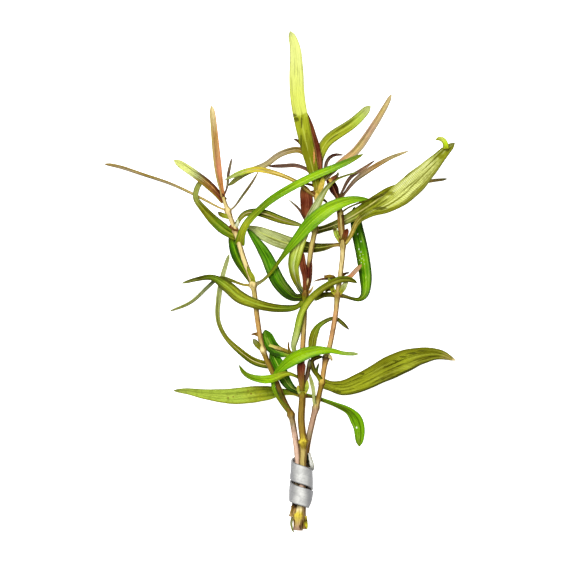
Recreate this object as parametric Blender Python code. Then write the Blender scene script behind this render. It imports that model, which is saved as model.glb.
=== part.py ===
"""A bunch of three willow-leaved water plant stems, held by a wound lead strip and lying down."""

import math

import bpy
import numpy as np
from mathutils import Vector

# Lengths are in millimetres: X runs to the right, Y towards the growing tips, Z up.
METRES = 0.001
STEM_RADIUS = 1.1
NODE_RADIUS = 1.5
NODE_HALF_LENGTH = 1.6
STEM_SIDES = 8
TIP_LENGTH = 12.0
TIP_RADIUS = 0.8
STEM_STEP = 5.0
GAP = 0.35
BLADE_THICKNESS = 0.7
BLADE_STEP = 2.8
FEWEST_BLADE_STEPS = 5
MOST_BLADE_STEPS = 22
STRIP_WIDTH = 7.7
STRIP_THICKNESS = 1.0
STRIP_PITCH = 8.6
STRIP_STEPS_PER_TURN = 16
STRIP_FIRST_STEP = 1
STRIP_LAST_STEP = 30
STRIP_TOP_Y = -67.0
STRIP_LOW_Y = -91.0
STRIP_TOP_RADIUS = 4.5
STRIP_LOW_RADIUS = 5.0
STRIP_TOP_X = 8.8
STRIP_LOW_X = 8.3
# Edges sharper than this, in degrees, are shaded sharp.
SOFT_STEM_EDGE = 50
SOFT_BLADE_EDGE = 60
SOFT_STRIP_EDGE = 30
# A ring closer than this share of a step to another one is left out.
NEAREST_RING = 0.4
# A narrow blade is no thicker than this share of half its width.
NARROW_BLADE_THICKNESS = 0.9
CURVE_STEPS_PER_SPAN = 12

# Colour (linear), roughness and metallic value of each finish.
FINISHES = {
    "bright_leaf": ((0.12, 0.42, 0.02, 1.0), 0.35, 0.0),
    "dark_leaf": ((0.03, 0.14, 0.01, 1.0), 0.4, 0.0),
    "olive_leaf": ((0.16, 0.2, 0.03, 1.0), 0.45, 0.0),
    "pale_leaf": ((0.42, 0.5, 0.15, 1.0), 0.45, 0.0),
    "yellow_leaf": ((0.5, 0.45, 0.08, 1.0), 0.45, 0.0),
    "red_leaf": ((0.12, 0.02, 0.02, 1.0), 0.45, 0.0),
    "tan_leaf": ((0.4, 0.2, 0.08, 1.0), 0.5, 0.0),
    "stem": ((0.45, 0.3, 0.12, 1.0), 0.5, 0.0),
    "lead": ((0.5, 0.5, 0.48, 1.0), 0.6, 0.3),
}


def clear_scene():
    for thing in list(bpy.data.objects):
        bpy.data.objects.remove(thing)


def finish_of(name):
    """The Principled material with this finish's name, made the first time it is asked for."""
    material = bpy.data.materials.get(name)
    if material:
        return material
    colour, roughness, metallic = FINISHES[name]
    material = bpy.data.materials.new(name)
    material.use_nodes = True
    shader = material.node_tree.nodes["Principled BSDF"]
    shader.inputs["Base Color"].default_value = colour
    shader.inputs["Roughness"].default_value = roughness
    shader.inputs["Metallic"].default_value = metallic
    material.diffuse_color = colour
    return material


def smooth_curve(points):
    """Close points along a smooth curve through the given ones (Catmull-Rom)."""
    points = [Vector(p) for p in points]
    ends = [2 * points[0] - points[1]] + points + [2 * points[-1] - points[-2]]
    curve = []
    for a, b, c, d in zip(ends, ends[1:], ends[2:], ends[3:]):
        for step in range(CURVE_STEPS_PER_SPAN):
            t = step / CURVE_STEPS_PER_SPAN
            bend = 2 * a - 5 * b + 4 * c - d
            twist = 3 * b - a - 3 * c + d
            curve.append(0.5 * (2 * b + (c - a) * t + bend * t**2 + twist * t**3))
    curve.append(points[-1])
    return curve


def spaced(curve, count):
    """Points at equal distances along a curve, count steps in all."""
    lengths = [0.0]
    for a, b in zip(curve, curve[1:]):
        lengths.append(lengths[-1] + (b - a).length)
    wanted = np.linspace(0.0, lengths[-1], count + 1)
    rows = np.array(curve)
    return [Vector([float(np.interp(w, lengths, rows[:, k])) for k in range(3)]) for w in wanted]


def length_of(curve):
    return sum((b - a).length for a, b in zip(curve, curve[1:]))


def directions(points):
    around = [points[0]] + list(points) + [points[-1]]
    return [(after - before).normalized() for before, after in zip(around, around[2:])]


def eased(values, t):
    """The value at t, from 0 to 1, of a few values spread evenly along a leaf."""
    if len(values) == 1:
        return values[0]
    place = t * (len(values) - 1)
    low = min(int(place), len(values) - 2)
    part = place - low
    part = part * part * (3 - 2 * part) * 0.5 + part * 0.5
    return values[low] + (values[low + 1] - values[low]) * part


def solid(name, finish, points, faces, soft_edge):
    mesh = bpy.data.meshes.new(name)
    mesh.from_pydata([Vector(p) * METRES for p in points], [], faces)
    mesh.materials.append(finish_of(finish))
    mesh.shade_smooth()
    mesh.set_sharp_from_angle(angle=math.radians(soft_edge))
    mesh.validate()
    thing = bpy.data.objects.new(name, mesh)
    bpy.context.scene.collection.objects.link(thing)
    return thing


def rings_to_faces(rings, sides, closed_by_points):
    """Faces between rings of corners that follow one another, and the fans or flats at both ends."""
    faces = []
    for ring in range(rings - 1):
        for side in range(sides):
            a = ring * sides + side
            b = ring * sides + (side + 1) % sides
            faces.append((a, b, b + sides, a + sides))
    last = (rings - 1) * sides
    faces.append(tuple(reversed(range(sides))))
    if closed_by_points:
        tip = rings * sides
        faces.extend((last + side, last + (side + 1) % sides, tip) for side in range(sides))
    else:
        faces.append(tuple(range(last, last + sides)))
    return faces


# The axis of each stem from its cut end to its growing tip.
LEFT_STEM = (
    (4.3, -94.0, 4.6), (5.6, -89.5, 4.7), (6.6, -82.0, 4.3), (7.2, -72.5, 4.0), (6.7, -65.0, 4.6),
    (6.2, -61.0, 5.3), (4.6, -53.0, 6.2), (1.9, -48.0, 6.9), (-2.4, -37.4, 8.1), (-6.8, -27.0, 9.2),
    (-9.0, -15.0, 10.2), (-10.8, -1.0, 11.2), (-14.6, 9.8, 12.1), (-18.0, 21.0, 13.0),
    (-20.8, 28.6, 13.7), (-22.8, 34.2, 14.2),
)
MIDDLE_STEM = (
    (7.2, -100.6, 5.4), (7.7, -93.8, 5.8), (8.3, -89.0, 6.4), (8.9, -80.0, 6.5), (9.1, -72.0, 6.5),
    (9.2, -64.0, 6.4), (8.6, -55.0, 6.9), (9.0, -45.0, 7.5), (8.8, -35.0, 8.3), (8.9, -29.0, 8.8),
    (9.7, -15.0, 9.9), (10.0, -5.0, 10.8), (11.2, 3.0, 11.5), (12.4, 13.0, 12.3), (14.0, 21.4, 13.0),
    (14.8, 34.2, 14.2), (14.4, 41.0, 14.8),
)
RIGHT_STEM = (
    (10.4, -97.0, 4.5), (10.6, -90.0, 4.5), (10.4, -80.0, 4.1), (10.2, -72.0, 3.9), (11.1, -65.8, 4.5),
    (11.8, -61.8, 5.1), (13.4, -53.8, 6.0), (15.2, -47.0, 6.6), (16.7, -40.2, 7.2), (18.4, -30.2, 8.2),
    (20.0, -25.0, 8.6), (22.2, -13.0, 9.9), (23.0, -5.0, 10.8), (24.6, 7.0, 11.8), (25.1, 15.0, 12.5),
    (24.1, 27.8, 13.6), (23.5, 33.4, 14.1),
)
# How far along Y the swollen joints sit on each stem.
LEFT_JOINTS = (-53.0, -27.0, -1.0, 21.0, 28.6)
MIDDLE_JOINTS = (-93.8, -64.0, -45.0, -30.0, -5.0, 21.4, 34.2)
RIGHT_JOINTS = (-50.2, -40.2, -30.2, -5.0, 15.0, 27.8)
STEMS = {
    "left": (LEFT_STEM, LEFT_JOINTS),
    "middle": (MIDDLE_STEM, MIDDLE_JOINTS),
    "right": (RIGHT_STEM, RIGHT_JOINTS),
}


def stem_stations(axis, joints):
    """Places along Y where the stem gets a ring: three at each swollen joint, and even steps between."""
    swollen = [joint + part * NODE_HALF_LENGTH for joint in joints for part in (-1, 0, 1)]
    stations = [axis[0][1], axis[-1][1]]
    stations += [y for y in swollen if axis[0][1] < y < axis[-1][1]]
    y = axis[0][1] + STEM_STEP
    while y < axis[-1][1] - STEM_STEP / 2:
        if min(abs(y - taken) for taken in stations) > STEM_STEP * NEAREST_RING:
            stations.append(y)
        y += STEM_STEP
    return sorted(stations)


def stem_radius(which, y):
    """How thick a stem is at this Y: even, but swollen at its joints and thinner towards its tip."""
    axis, joints = STEMS[which]
    nearest = min(abs(y - joint) for joint in joints)
    swelling = (NODE_RADIUS - STEM_RADIUS) * max(0.0, 1 - nearest / NODE_HALF_LENGTH)
    tip_start = axis[-1][1] - TIP_LENGTH
    thinning = max(0.0, (y - tip_start) / TIP_LENGTH)
    return STEM_RADIUS + (TIP_RADIUS - STEM_RADIUS) * thinning + swelling


def on_stem(which, y):
    """The point of a stem's axis at this Y."""
    curve = smooth_curve(STEMS[which][0])
    heights = [p.y for p in curve]
    return Vector((
        float(np.interp(y, heights, [p.x for p in curve])),
        y,
        float(np.interp(y, heights, [p.z for p in curve])),
    ))


def room_beside(which, curve):
    """How far each point of a curve is from a stem's skin."""
    axis = smooth_curve(STEMS[which][0])
    places = np.array(axis)
    radii = np.array([stem_radius(which, p.y) for p in axis])
    return [float((np.linalg.norm(places - np.array(p), axis=1) - radii).min()) for p in curve]


def stem(which):
    centres = [on_stem(which, y) for y in stem_stations(*STEMS[which])]
    points = []
    for centre, way in zip(centres, directions(centres)):
        radius = stem_radius(which, centre.y)
        side = way.cross(Vector((0, 0, 1))).normalized()
        up = side.cross(way)
        for corner in range(STEM_SIDES):
            angle = 2 * math.pi * (corner + 0.5) / STEM_SIDES
            points.append(centre + (side * math.cos(angle) - up * math.sin(angle)) * radius)
    for point in points[:STEM_SIDES]:
        point.y = centres[0].y
    faces = rings_to_faces(len(centres), STEM_SIDES, False)
    return solid(f"{which}_stem", "stem", points, faces, SOFT_STEM_EDGE)


def strip():
    """The lead strip: a flat band wound round the stems, its lowest faces level where it lies."""
    turn = 2 * math.pi / STRIP_STEPS_PER_TURN
    steps = range(STRIP_FIRST_STEP, STRIP_LAST_STEP + 1)
    points = []
    for step in steps:
        angle = -turn / 2 - step * turn
        middle_y = STRIP_TOP_Y - STRIP_WIDTH / 2 - STRIP_PITCH * step / STRIP_STEPS_PER_TURN
        for part, inner in ((0.5, 0), (-0.5, 0), (-0.5, 1), (0.5, 1)):
            y = middle_y + part * STRIP_WIDTH
            down = (STRIP_TOP_Y - y) / (STRIP_TOP_Y - STRIP_LOW_Y)
            outer = STRIP_TOP_RADIUS + (STRIP_LOW_RADIUS - STRIP_TOP_RADIUS) * down
            radius = outer - inner * STRIP_THICKNESS
            centre_x = STRIP_TOP_X + (STRIP_LOW_X - STRIP_TOP_X) * down
            centre_z = outer * math.cos(turn / 2)
            points.append((centre_x + radius * math.cos(angle), y, centre_z + radius * math.sin(angle)))
    return solid("lead_strip", "lead", points, rings_to_faces(len(steps), 4, False), SOFT_STRIP_EDGE)


def leaf(name, finish, foot, way, widths, roll=(0,), trough=0.1):
    """One leaf. The first word of its name is its stem, which it leaves at Y = foot.

    Its midrib passes through the points of way. widths are spread evenly along it, roll is how far it
    is turned about its midrib in degrees, and trough lifts both margins by that share of the width.
    """
    which = name.split("_")[0]
    curve = smooth_curve([on_stem(which, foot)] + list(way))
    curve = [p for p, room in zip(curve, room_beside(which, curve)) if room > GAP]
    steps = min(MOST_BLADE_STEPS, max(FEWEST_BLADE_STEPS, round(length_of(curve) / BLADE_STEP)))
    centres = spaced(curve, steps)
    points = []
    for index, (centre, forward) in enumerate(zip(centres[:-1], directions(centres))):
        half = eased(widths, index / steps) / 2
        angle = math.radians(eased(roll, index / steps))
        side = Vector((0, 0, 1)).cross(forward).normalized()
        up = forward.cross(side)
        across = side * math.cos(angle) + up * math.sin(angle)
        over = up * math.cos(angle) - side * math.sin(angle)
        thick = min(BLADE_THICKNESS, half * NARROW_BLADE_THICKNESS) / 2
        margin = over * trough * 2 * half
        points += [centre + across * half + margin, centre + over * thick]
        points += [centre - across * half + margin, centre - over * thick]
    points.append(centres[-1])
    # A leaf that reaches the surface lies flat on it.
    points = [Vector((p.x, p.y, max(p.z, 0.0))) for p in points]
    return solid(name, finish, points, rings_to_faces(steps, 4, True), SOFT_BLADE_EDGE)


def left_stem_leaves():
    leaf("left_upright_leaf", "tan_leaf", 34.2,
         ((-23.4, 37.0, 15.0), (-24.6, 43.0, 16.0), (-25.6, 51.0, 17.0), (-26.6, 62.0, 18.0),
          (-27.4, 70.8, 18.4)), (1.2, 3.2, 4.0, 4.0, 3.7, 3.3, 2.4),
         roll=(40,))
    leaf("left_slanting_leaf", "yellow_leaf", 32.4,
         ((-26.2, 36.8, 15.0), (-30.1, 40.4, 16.4), (-35.9, 44.7, 16.8), (-42.5, 49.0, 17.0)),
         (1.6, 3.2, 3.6, 3.4, 3.4, 3.2, 2.2))
    leaf("left_purple_leaf", "red_leaf", 34.2,
         ((-21.2, 38.2, 14.0), (-20.8, 43.6, 15.4), (-19.3, 49.8, 16.2)), (0.8, 2.2, 2.6, 1.6),
         roll=(65,))
    leaf("left_far_leaf", "tan_leaf", 28.6,
         ((-24.4, 29.8, 12.6), (-33.4, 34.4, 9.2), (-44.0, 39.3, 6.4), (-56.0, 43.4, 4.0),
          (-64.0, 46.1, 1.6), (-70.6, 47.6, 0.2)), (1.8, 3.2, 3.8, 3.8, 3.4, 3.2, 2.2),
         roll=(75, 75, 70, 60))
    leaf("left_inner_thin_leaf", "tan_leaf", 28.6,
         ((-18.4, 30.2, 13.8), (-15.6, 34.2, 14.0), (-11.4, 40.0, 14.2), (-8.6, 44.4, 14.4)),
         (1.2, 2.6, 2.8, 2.3, 0.8),
         roll=(70,))
    leaf("left_curl_leaf", "olive_leaf", 18.2,
         ((-22.4, 20.8, 12.4), (-25.9, 24.2, 12.6), (-30.0, 28.6, 12.6), (-33.4, 33.0, 13.0),
          (-33.5, 37.0, 13.2), (-31.8, 40.2, 13.2), (-29.6, 41.8, 13.2)),
         (0.9, 3.4, 4.2, 3.5, 2.7, 2.4, 2.4, 1.4),
         roll=(0, 0, 10, 10))
    leaf("left_arch_leaf", "olive_leaf", 21.4,
         ((-16.2, 25.4, 14.4), (-13.2, 27.9, 14.8), (-7.2, 27.8, 15.4), (1.0, 24.9, 15.6),
          (10.0, 22.5, 15.8)), (1.4, 2.4, 3.2, 3.6, 3.2, 2.4, 0.8))
    leaf("left_bright_upper_leaf", "bright_leaf", 15.0,
         ((-15.2, 20.0, 16.0), (-12.3, 25.0, 17.6), (-5.0, 31.9, 19.0), (2.4, 36.8, 19.8),
          (12.2, 41.9, 20.6), (24.6, 47.1, 20.8), (33.4, 51.3, 20.2)),
         (3.4, 3.0, 2.8, 3.1, 3.2, 3.2, 3.1, 2.6, 1.2))
    leaf("left_dark_leaf", "dark_leaf", -1.0,
         ((-12.6, 1.8, 9.0), (-15.4, 6.8, 8.8), (-17.9, 12.0, 9.2), (-20.0, 20.0, 9.8)),
         (1.4, 2.8, 4.0, 4.4, 3.6, 1.4))
    leaf("left_trailing_thin_leaf", "olive_leaf", -1.0,
         ((-14.4, -1.1, 10.6), (-20.0, 0.9, 9.2), (-24.2, 1.8, 8.2), (-28.2, -0.9, 6.8),
          (-35.7, -7.7, 4.0), (-44.4, -11.6, 1.2)), (1.2, 2.2, 2.6, 2.6, 2.2, 1.0),
         roll=(55,))
    leaf("left_bright_centre_leaf", "bright_leaf", -1.0,
         ((-7.6, 0.3, 13.2), (-3.8, 3.8, 15.4), (0.8, 10.1, 17.6), (6.6, 17.3, 19.0),
          (12.4, 23.9, 19.8), (19.2, 29.3, 20.0), (25.2, 32.1, 19.6), (30.0, 33.2, 19.2),
          (35.4, 33.5, 18.6)), (1.3, 1.5, 1.7, 3.2, 4.8, 6.0, 5.8, 4.8, 3.2, 1.0))
    leaf("left_stub_leaf", "olive_leaf", 26.0,
         ((-23.0, 26.9, 14.6), (-24.9, 28.2, 14.8)), (1.2, 2.0, 1.8, 0.8))
    leaf("left_axil_leaf", "olive_leaf", -0.4,
         ((-10.8, 1.6, 13.4), (-12.0, 3.8, 14.2), (-13.2, 6.6, 15.0)), (1.4, 2.0, 1.6, 0.4))
    leaf("left_bud_leaf", "olive_leaf", -27.0,
         ((-8.9, -25.2, 10.4), (-10.8, -22.4, 11.2)), (1.4, 2.2, 2.2, 0.8))
    leaf("left_bright_low_leaf", "bright_leaf", -53.0,
         ((3.0, -50.8, 7.4), (-0.4, -46.8, 9.2), (-2.8, -41.2, 10.8), (-1.6, -36.8, 11.8),
          (4.6, -31.1, 13.2), (12.8, -27.6, 13.8), (20.2, -27.2, 13.6), (25.2, -28.3, 13.2),
          (31.7, -28.6, 12.8)), (1.4, 1.4, 1.8, 3.0, 5.0, 5.3, 4.0, 2.1, 1.7, 1.6))


def middle_top_leaves():
    leaf("middle_tall_leaf", "pale_leaf", 36.4,
         ((14.6, 38.6, 17.2), (13.4, 44.6, 17.8), (9.5, 61.0, 17.6), (7.1, 75.0, 16.8),
          (6.0, 92.6, 15.4), (4.0, 100.6, 14.6)), (2.2, 4.2, 5.0, 5.4, 5.8, 5.9, 5.0, 2.4))
    leaf("middle_red_back_leaf", "red_leaf", 40.6,
         ((15.4, 45.0, 14.0), (14.2, 53.0, 13.6), (12.6, 60.0, 13.2), (11.0, 67.8, 12.8)),
         (2.2, 4.0, 4.0, 3.0, 0.6))
    leaf("middle_upper_right_leaf", "olive_leaf", 40.0,
         ((15.9, 43.8, 12.6), (15.8, 51.2, 11.6), (19.2, 57.4, 11.6), (28.8, 64.1, 11.8),
          (36.3, 70.8, 11.4)), (1.6, 2.6, 4.3, 4.8, 4.5, 4.0, 2.8))
    leaf("middle_tan_leaf", "tan_leaf", 37.6,
         ((18.2, 41.8, 16.8), (23.2, 46.8, 17.2), (30.3, 53.0, 17.4), (37.3, 63.0, 16.8),
          (42.3, 71.4, 16.0), (44.6, 75.4, 15.6)), (1.2, 2.6, 3.4, 3.4, 2.9, 2.5, 1.6))
    leaf("middle_small_dark_leaf", "dark_leaf", 40.0,
         ((17.6, 43.4, 15.2), (19.0, 48.0, 15.6), (21.8, 50.6, 15.6), (25.8, 50.9, 15.6)),
         (0.9, 1.4, 1.5, 0.8))
    leaf("middle_brown_arc_leaf", "olive_leaf", 39.0,
         ((12.6, 43.4, 12.6), (12.0, 49.6, 11.8), (7.6, 53.5, 11.8), (0.2, 51.8, 12.0),
          (-6.0, 47.4, 12.0), (-14.0, 43.7, 11.8), (-20.8, 38.6, 11.6)),
         (1.2, 2.2, 2.6, 2.5, 2.5, 2.4, 1.6))
    leaf("middle_yellow_leaf", "yellow_leaf", 34.2,
         ((11.4, 36.4, 16.2), (6.4, 40.3, 16.8), (-1.0, 43.4, 17.0), (-9.2, 45.2, 17.2),
          (-16.0, 43.7, 17.4), (-22.2, 40.9, 17.6)), (1.1, 1.5, 1.7, 2.0, 2.4, 2.2, 0.8))
    leaf("middle_thin_red_leaf", "red_leaf", 40.4,
         ((11.4, 44.8, 14.8), (6.4, 46.8, 14.4), (1.0, 46.6, 14.4), (-5.0, 46.5, 14.8)),
         (0.9, 1.6, 1.8, 1.6, 1.0))
    leaf("middle_stub_leaf", "red_leaf", 38.0,
         ((13.6, 43.0, 11.6), (11.6, 50.4, 10.6), (8.0, 56.2, 10.2), (5.2, 57.4, 10.2)),
         (1.0, 1.4, 1.8, 1.8, 1.2))


def middle_centre_leaves():
    leaf("middle_broad_red_leaf", "red_leaf", 21.6,
         ((11.2, 24.0, 14.4), (10.6, 29.0, 14.4), (10.6, 34.0, 14.2), (9.0, 39.4, 14.0)),
         (1.6, 3.4, 5.2, 5.2, 2.0))
    leaf("middle_thin_purple_leaf", "red_leaf", 21.4,
         ((10.4, 24.8, 13.0), (7.6, 29.4, 12.8), (3.2, 33.4, 13.0)), (1.0, 1.2, 1.0, 0.4))
    leaf("middle_dark_olive_leaf", "olive_leaf", 20.6,
         ((17.2, 21.4, 11.2), (22.8, 23.4, 10.4), (30.0, 27.2, 10.2), (38.4, 32.7, 10.0),
          (48.8, 40.1, 7.6)), (2.4, 3.4, 4.4, 5.0, 4.4, 0.8))
    leaf("middle_pale_sweep_leaf", "pale_leaf", -4.6,
         ((7.5, -1.6, 12.8), (5.5, 5.0, 14.2), (6.2, 11.0, 15.6), (10.4, 22.0, 17.1),
          (14.8, 31.0, 17.5), (16.8, 34.8, 17.7), (19.2, 38.4, 18.0), (22.4, 41.2, 18.3),
          (26.0, 42.6, 18.0), (31.0, 44.2, 17.8)), (1.6, 3.8, 5.2, 4.4, 4.0, 3.4, 2.0, 0.9, 0.6))
    leaf("middle_dark_green_leaf", "dark_leaf", -5.2,
         ((7.1, -6.2, 11.4), (4.0, -4.9, 11.8), (-0.9, 0.7, 12.2), (-5.5, 10.6, 12.0),
          (-10.8, 18.6, 12.2), (-13.4, 21.6, 12.4)), (2.4, 5.2, 5.8, 5.5, 4.7, 3.2, 1.4))
    leaf("middle_long_left_leaf", "olive_leaf", -6.8,
         ((6.4, -9.9, 12.2), (-1.0, -10.3, 13.4), (-9.0, -8.7, 14.2), (-16.0, -5.9, 14.0),
          (-21.0, -1.6, 13.0), (-27.0, 2.0, 11.4), (-33.0, 1.4, 9.4), (-39.6, -0.4, 7.2)),
         (1.6, 3.0, 3.6, 4.2, 5.2, 4.8, 2.5, 1.8, 1.0))
    leaf("middle_sheath_leaf_left", "red_leaf", -4.8,
         ((9.8, -0.6, 13.0), (9.8, 3.0, 13.4), (8.9, 8.4, 14.0), (8.6, 13.4, 14.2)),
         (1.0, 1.8, 3.0, 2.8, 1.6))
    leaf("middle_sheath_leaf_right", "red_leaf", -4.4,
         ((11.9, -0.4, 13.0), (12.4, 4.6, 13.8), (12.5, 9.6, 14.4)), (0.8, 1.2, 1.2, 0.6))
    leaf("middle_arc_leaf", "pale_leaf", -29.6,
         ((5.4, -26.8, 10.2), (6.8, -20.0, 11.6), (9.2, -11.0, 13.0), (14.4, -4.4, 13.8),
          (22.0, 0.5, 14.4), (27.6, 1.3, 13.8), (31.0, -0.3, 13.2)),
         (1.3, 3.0, 3.2, 2.9, 2.8, 2.8, 1.6))


def middle_low_leaves():
    leaf("middle_c_leaf", "pale_leaf", -30.2,
         ((4.4, -31.8, 5.8), (-2.0, -33.3, 3.6), (-9.9, -31.8, 3.6), (-16.2, -27.4, 4.0),
          (-21.8, -21.8, 4.4), (-25.3, -14.8, 4.6), (-25.0, -6.2, 5.4), (-23.4, 2.6, 6.0),
          (-20.5, 11.0, 6.4)), (1.2, 2.6, 3.2, 2.6, 1.8, 1.7, 2.0, 1.6, 0.7))
    leaf("middle_arc_right_leaf", "olive_leaf", -29.4,
         ((12.5, -26.9, 8.0), (13.2, -22.2, 7.8), (15.6, -17.2, 7.8), (21.6, -14.2, 7.4),
          (25.2, -16.5, 7.0), (27.8, -19.0, 6.8)), (1.2, 3.4, 3.4, 2.0, 1.7, 1.7, 1.2))
    leaf("middle_curled_leaf", "dark_leaf", -28.6,
         ((4.0, -28.6, 8.2), (0.6, -28.0, 7.4), (-2.4, -26.6, 7.0), (-4.6, -23.4, 6.8),
          (-6.0, -18.8, 7.0)), (1.4, 2.6, 4.6, 5.4, 5.4, 3.6))
    leaf("middle_lower_back_leaf", "dark_leaf", -44.2,
         ((5.2, -42.6, 6.2), (2.6, -40.0, 5.4), (0.3, -35.4, 5.3), (-2.4, -30.0, 5.2),
          (-4.0, -27.6, 5.0)), (1.6, 4.0, 5.0, 5.2, 3.0))
    leaf("middle_low_red_leaf", "red_leaf", -44.4,
         ((8.8, -41.6, 10.3), (8.4, -37.0, 11.0), (8.6, -31.2, 11.5)), (1.4, 2.6, 3.4, 4.0))
    leaf("middle_sickle_leaf", "bright_leaf", -38.8,
         ((5.8, -37.2, 10.0), (2.6, -36.4, 12.4), (-1.6, -37.9, 13.4), (-5.6, -38.8, 13.2),
          (-11.0, -38.0, 11.4), (-14.6, -36.0, 10.0), (-16.5, -32.8, 9.0)),
         (0.8, 1.6, 3.0, 3.6, 2.8, 2.0, 1.0))
    leaf("middle_wide_low_leaf", "pale_leaf", -45.4,
         ((5.0, -44.2, 5.2), (0.0, -43.9, 3.4), (-5.0, -44.3, 2.0), (-12.0, -45.0, 0.8),
          (-20.0, -45.6, 0.3), (-30.0, -44.8, 0.3), (-37.0, -43.6, 0.6), (-43.0, -43.3, 1.4)),
         (1.4, 2.8, 5.9, 6.9, 6.7, 5.5, 4.1, 2.7, 1.1))
    leaf("middle_drooping_leaf", "bright_leaf", -45.2,
         ((12.8, -45.6, 5.6), (16.0, -46.7, 4.2), (22.4, -49.0, 3.4), (28.2, -51.9, 2.6),
          (31.6, -57.6, 1.2), (31.8, -65.9, 0.3)), (1.3, 1.6, 1.9, 2.8, 5.2, 4.4, 2.6))


def right_top_leaves():
    leaf("right_red_tip_leaf", "red_leaf", 33.4,
         ((22.0, 36.4, 14.2), (20.5, 39.6, 15.0), (18.4, 42.2, 15.2)), (1.6, 3.8, 3.4, 1.2))
    leaf("right_dark_thin_leaf", "red_leaf", 33.4,
         ((25.1, 37.0, 14.6), (27.9, 42.0, 15.2), (32.6, 45.2, 15.4), (38.1, 48.9, 15.6)),
         (1.0, 2.2, 2.2, 1.0),
         roll=(50,))
    leaf("right_brown_long_leaf", "tan_leaf", 32.6,
         ((26.6, 36.8, 16.0), (30.2, 41.2, 16.8), (36.0, 45.4, 17.2), (44.0, 49.9, 17.0),
          (51.6, 52.6, 16.6)), (0.9, 2.0, 2.8, 2.6, 2.0, 0.9),
         roll=(40,))
    leaf("right_edge_on_leaf", "tan_leaf", 27.8,
         ((28.0, 30.4, 13.4), (36.8, 33.8, 12.8), (48.0, 37.8, 10.8), (58.8, 40.6, 5.6),
          (67.2, 41.6, 0.0)), (1.2, 2.1, 2.8, 2.4, 0.8),
         roll=(70,))
    leaf("right_big_pale_leaf", "pale_leaf", 15.2,
         ((27.8, 17.8, 14.0), (31.2, 24.6, 15.8), (36.2, 28.2, 16.2), (44.2, 32.2, 15.8),
          (52.0, 38.3, 14.6), (59.8, 46.5, 12.8), (65.9, 52.9, 11.4), (70.0, 55.9, 10.8)),
         (1.6, 2.0, 3.8, 7.0, 9.2, 9.2, 7.0, 4.7, 2.3))
    leaf("right_grey_leaf", "olive_leaf", 15.2,
         ((21.6, 15.0, 11.2), (17.0, 14.1, 9.6), (12.0, 14.0, 8.4), (4.0, 15.4, 8.0), (-5.2, 18.8, 8.2),
          (-13.4, 22.6, 8.8)), (1.0, 3.2, 4.6, 5.8, 6.0, 5.0, 1.6))
    leaf("right_hanging_leaf", "dark_leaf", -5.0,
         ((25.4, -5.4, 10.4), (28.4, -6.3, 9.6), (31.8, -6.9, 8.8), (33.8, -4.2, 8.0), (34.0, 2.0, 7.6),
          (33.1, 9.0, 7.3), (32.0, 15.0, 7.1), (30.8, 22.0, 7.0), (29.7, 30.4, 6.8)),
         (1.2, 1.5, 3.8, 5.2, 5.4, 5.4, 5.3, 4.6, 2.8))
    leaf("right_axil_pale_leaf", "pale_leaf", 15.6,
         ((22.8, 18.6, 14.2), (21.7, 22.6, 15.0)), (1.4, 2.0, 2.0, 1.2))
    leaf("right_axil_red_leaf", "red_leaf", 16.2,
         ((26.0, 18.8, 15.2), (27.0, 21.6, 16.4)), (1.4, 2.2, 2.2, 1.4))
    leaf("right_pink_leaf", "tan_leaf", 1.8,
         ((27.8, 2.2, 12.4), (30.0, 4.5, 12.8), (32.8, 7.3, 13.0)), (1.0, 1.9, 2.0, 1.4))
    leaf("right_purple_thin_leaf", "red_leaf", 1.4,
         ((20.6, 1.6, 10.2), (17.0, 1.4, 9.8), (13.2, 0.4, 10.0)), (0.9, 1.2, 1.0, 0.4))


def right_low_leaves():
    leaf("right_big_low_leaf", "olive_leaf", -40.2,
         ((20.2, -41.4, 6.8), (26.0, -42.1, 5.0), (34.0, -39.2, 2.8), (42.0, -35.1, 1.2),
          (50.0, -31.5, 0.4), (57.0, -29.3, 0.3), (64.0, -28.8, 0.5), (70.6, -31.3, 1.4)),
         (3.4, 6.4, 7.8, 8.4, 9.6, 9.2, 6.8, 4.2, 1.0))
    leaf("right_pale_low_leaf", "pale_leaf", -50.2,
         ((13.6, -47.2, 8.4), (13.4, -43.0, 9.0), (12.4, -39.0, 9.4), (11.6, -35.6, 9.6)),
         (1.0, 1.6, 1.6, 0.5))
    leaf("right_dark_curl_leaf", "dark_leaf", -39.8,
         ((15.4, -37.6, 9.2), (13.4, -34.8, 10.0), (12.6, -31.2, 10.6), (15.2, -29.8, 11.0),
          (17.6, -29.8, 11.2)), (1.6, 1.9, 2.2, 2.0, 1.2))


def main():
    clear_scene()
    strip()
    for which in STEMS:
        stem(which)
    left_stem_leaves()
    middle_top_leaves()
    middle_centre_leaves()
    middle_low_leaves()
    right_top_leaves()
    right_low_leaves()


main()
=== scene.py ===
"""Dresses the bunch of three willow-leaved water plant stems, held by a wound lead strip and lying down."""

import math

import bmesh
import bpy
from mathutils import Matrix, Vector, noise

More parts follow.
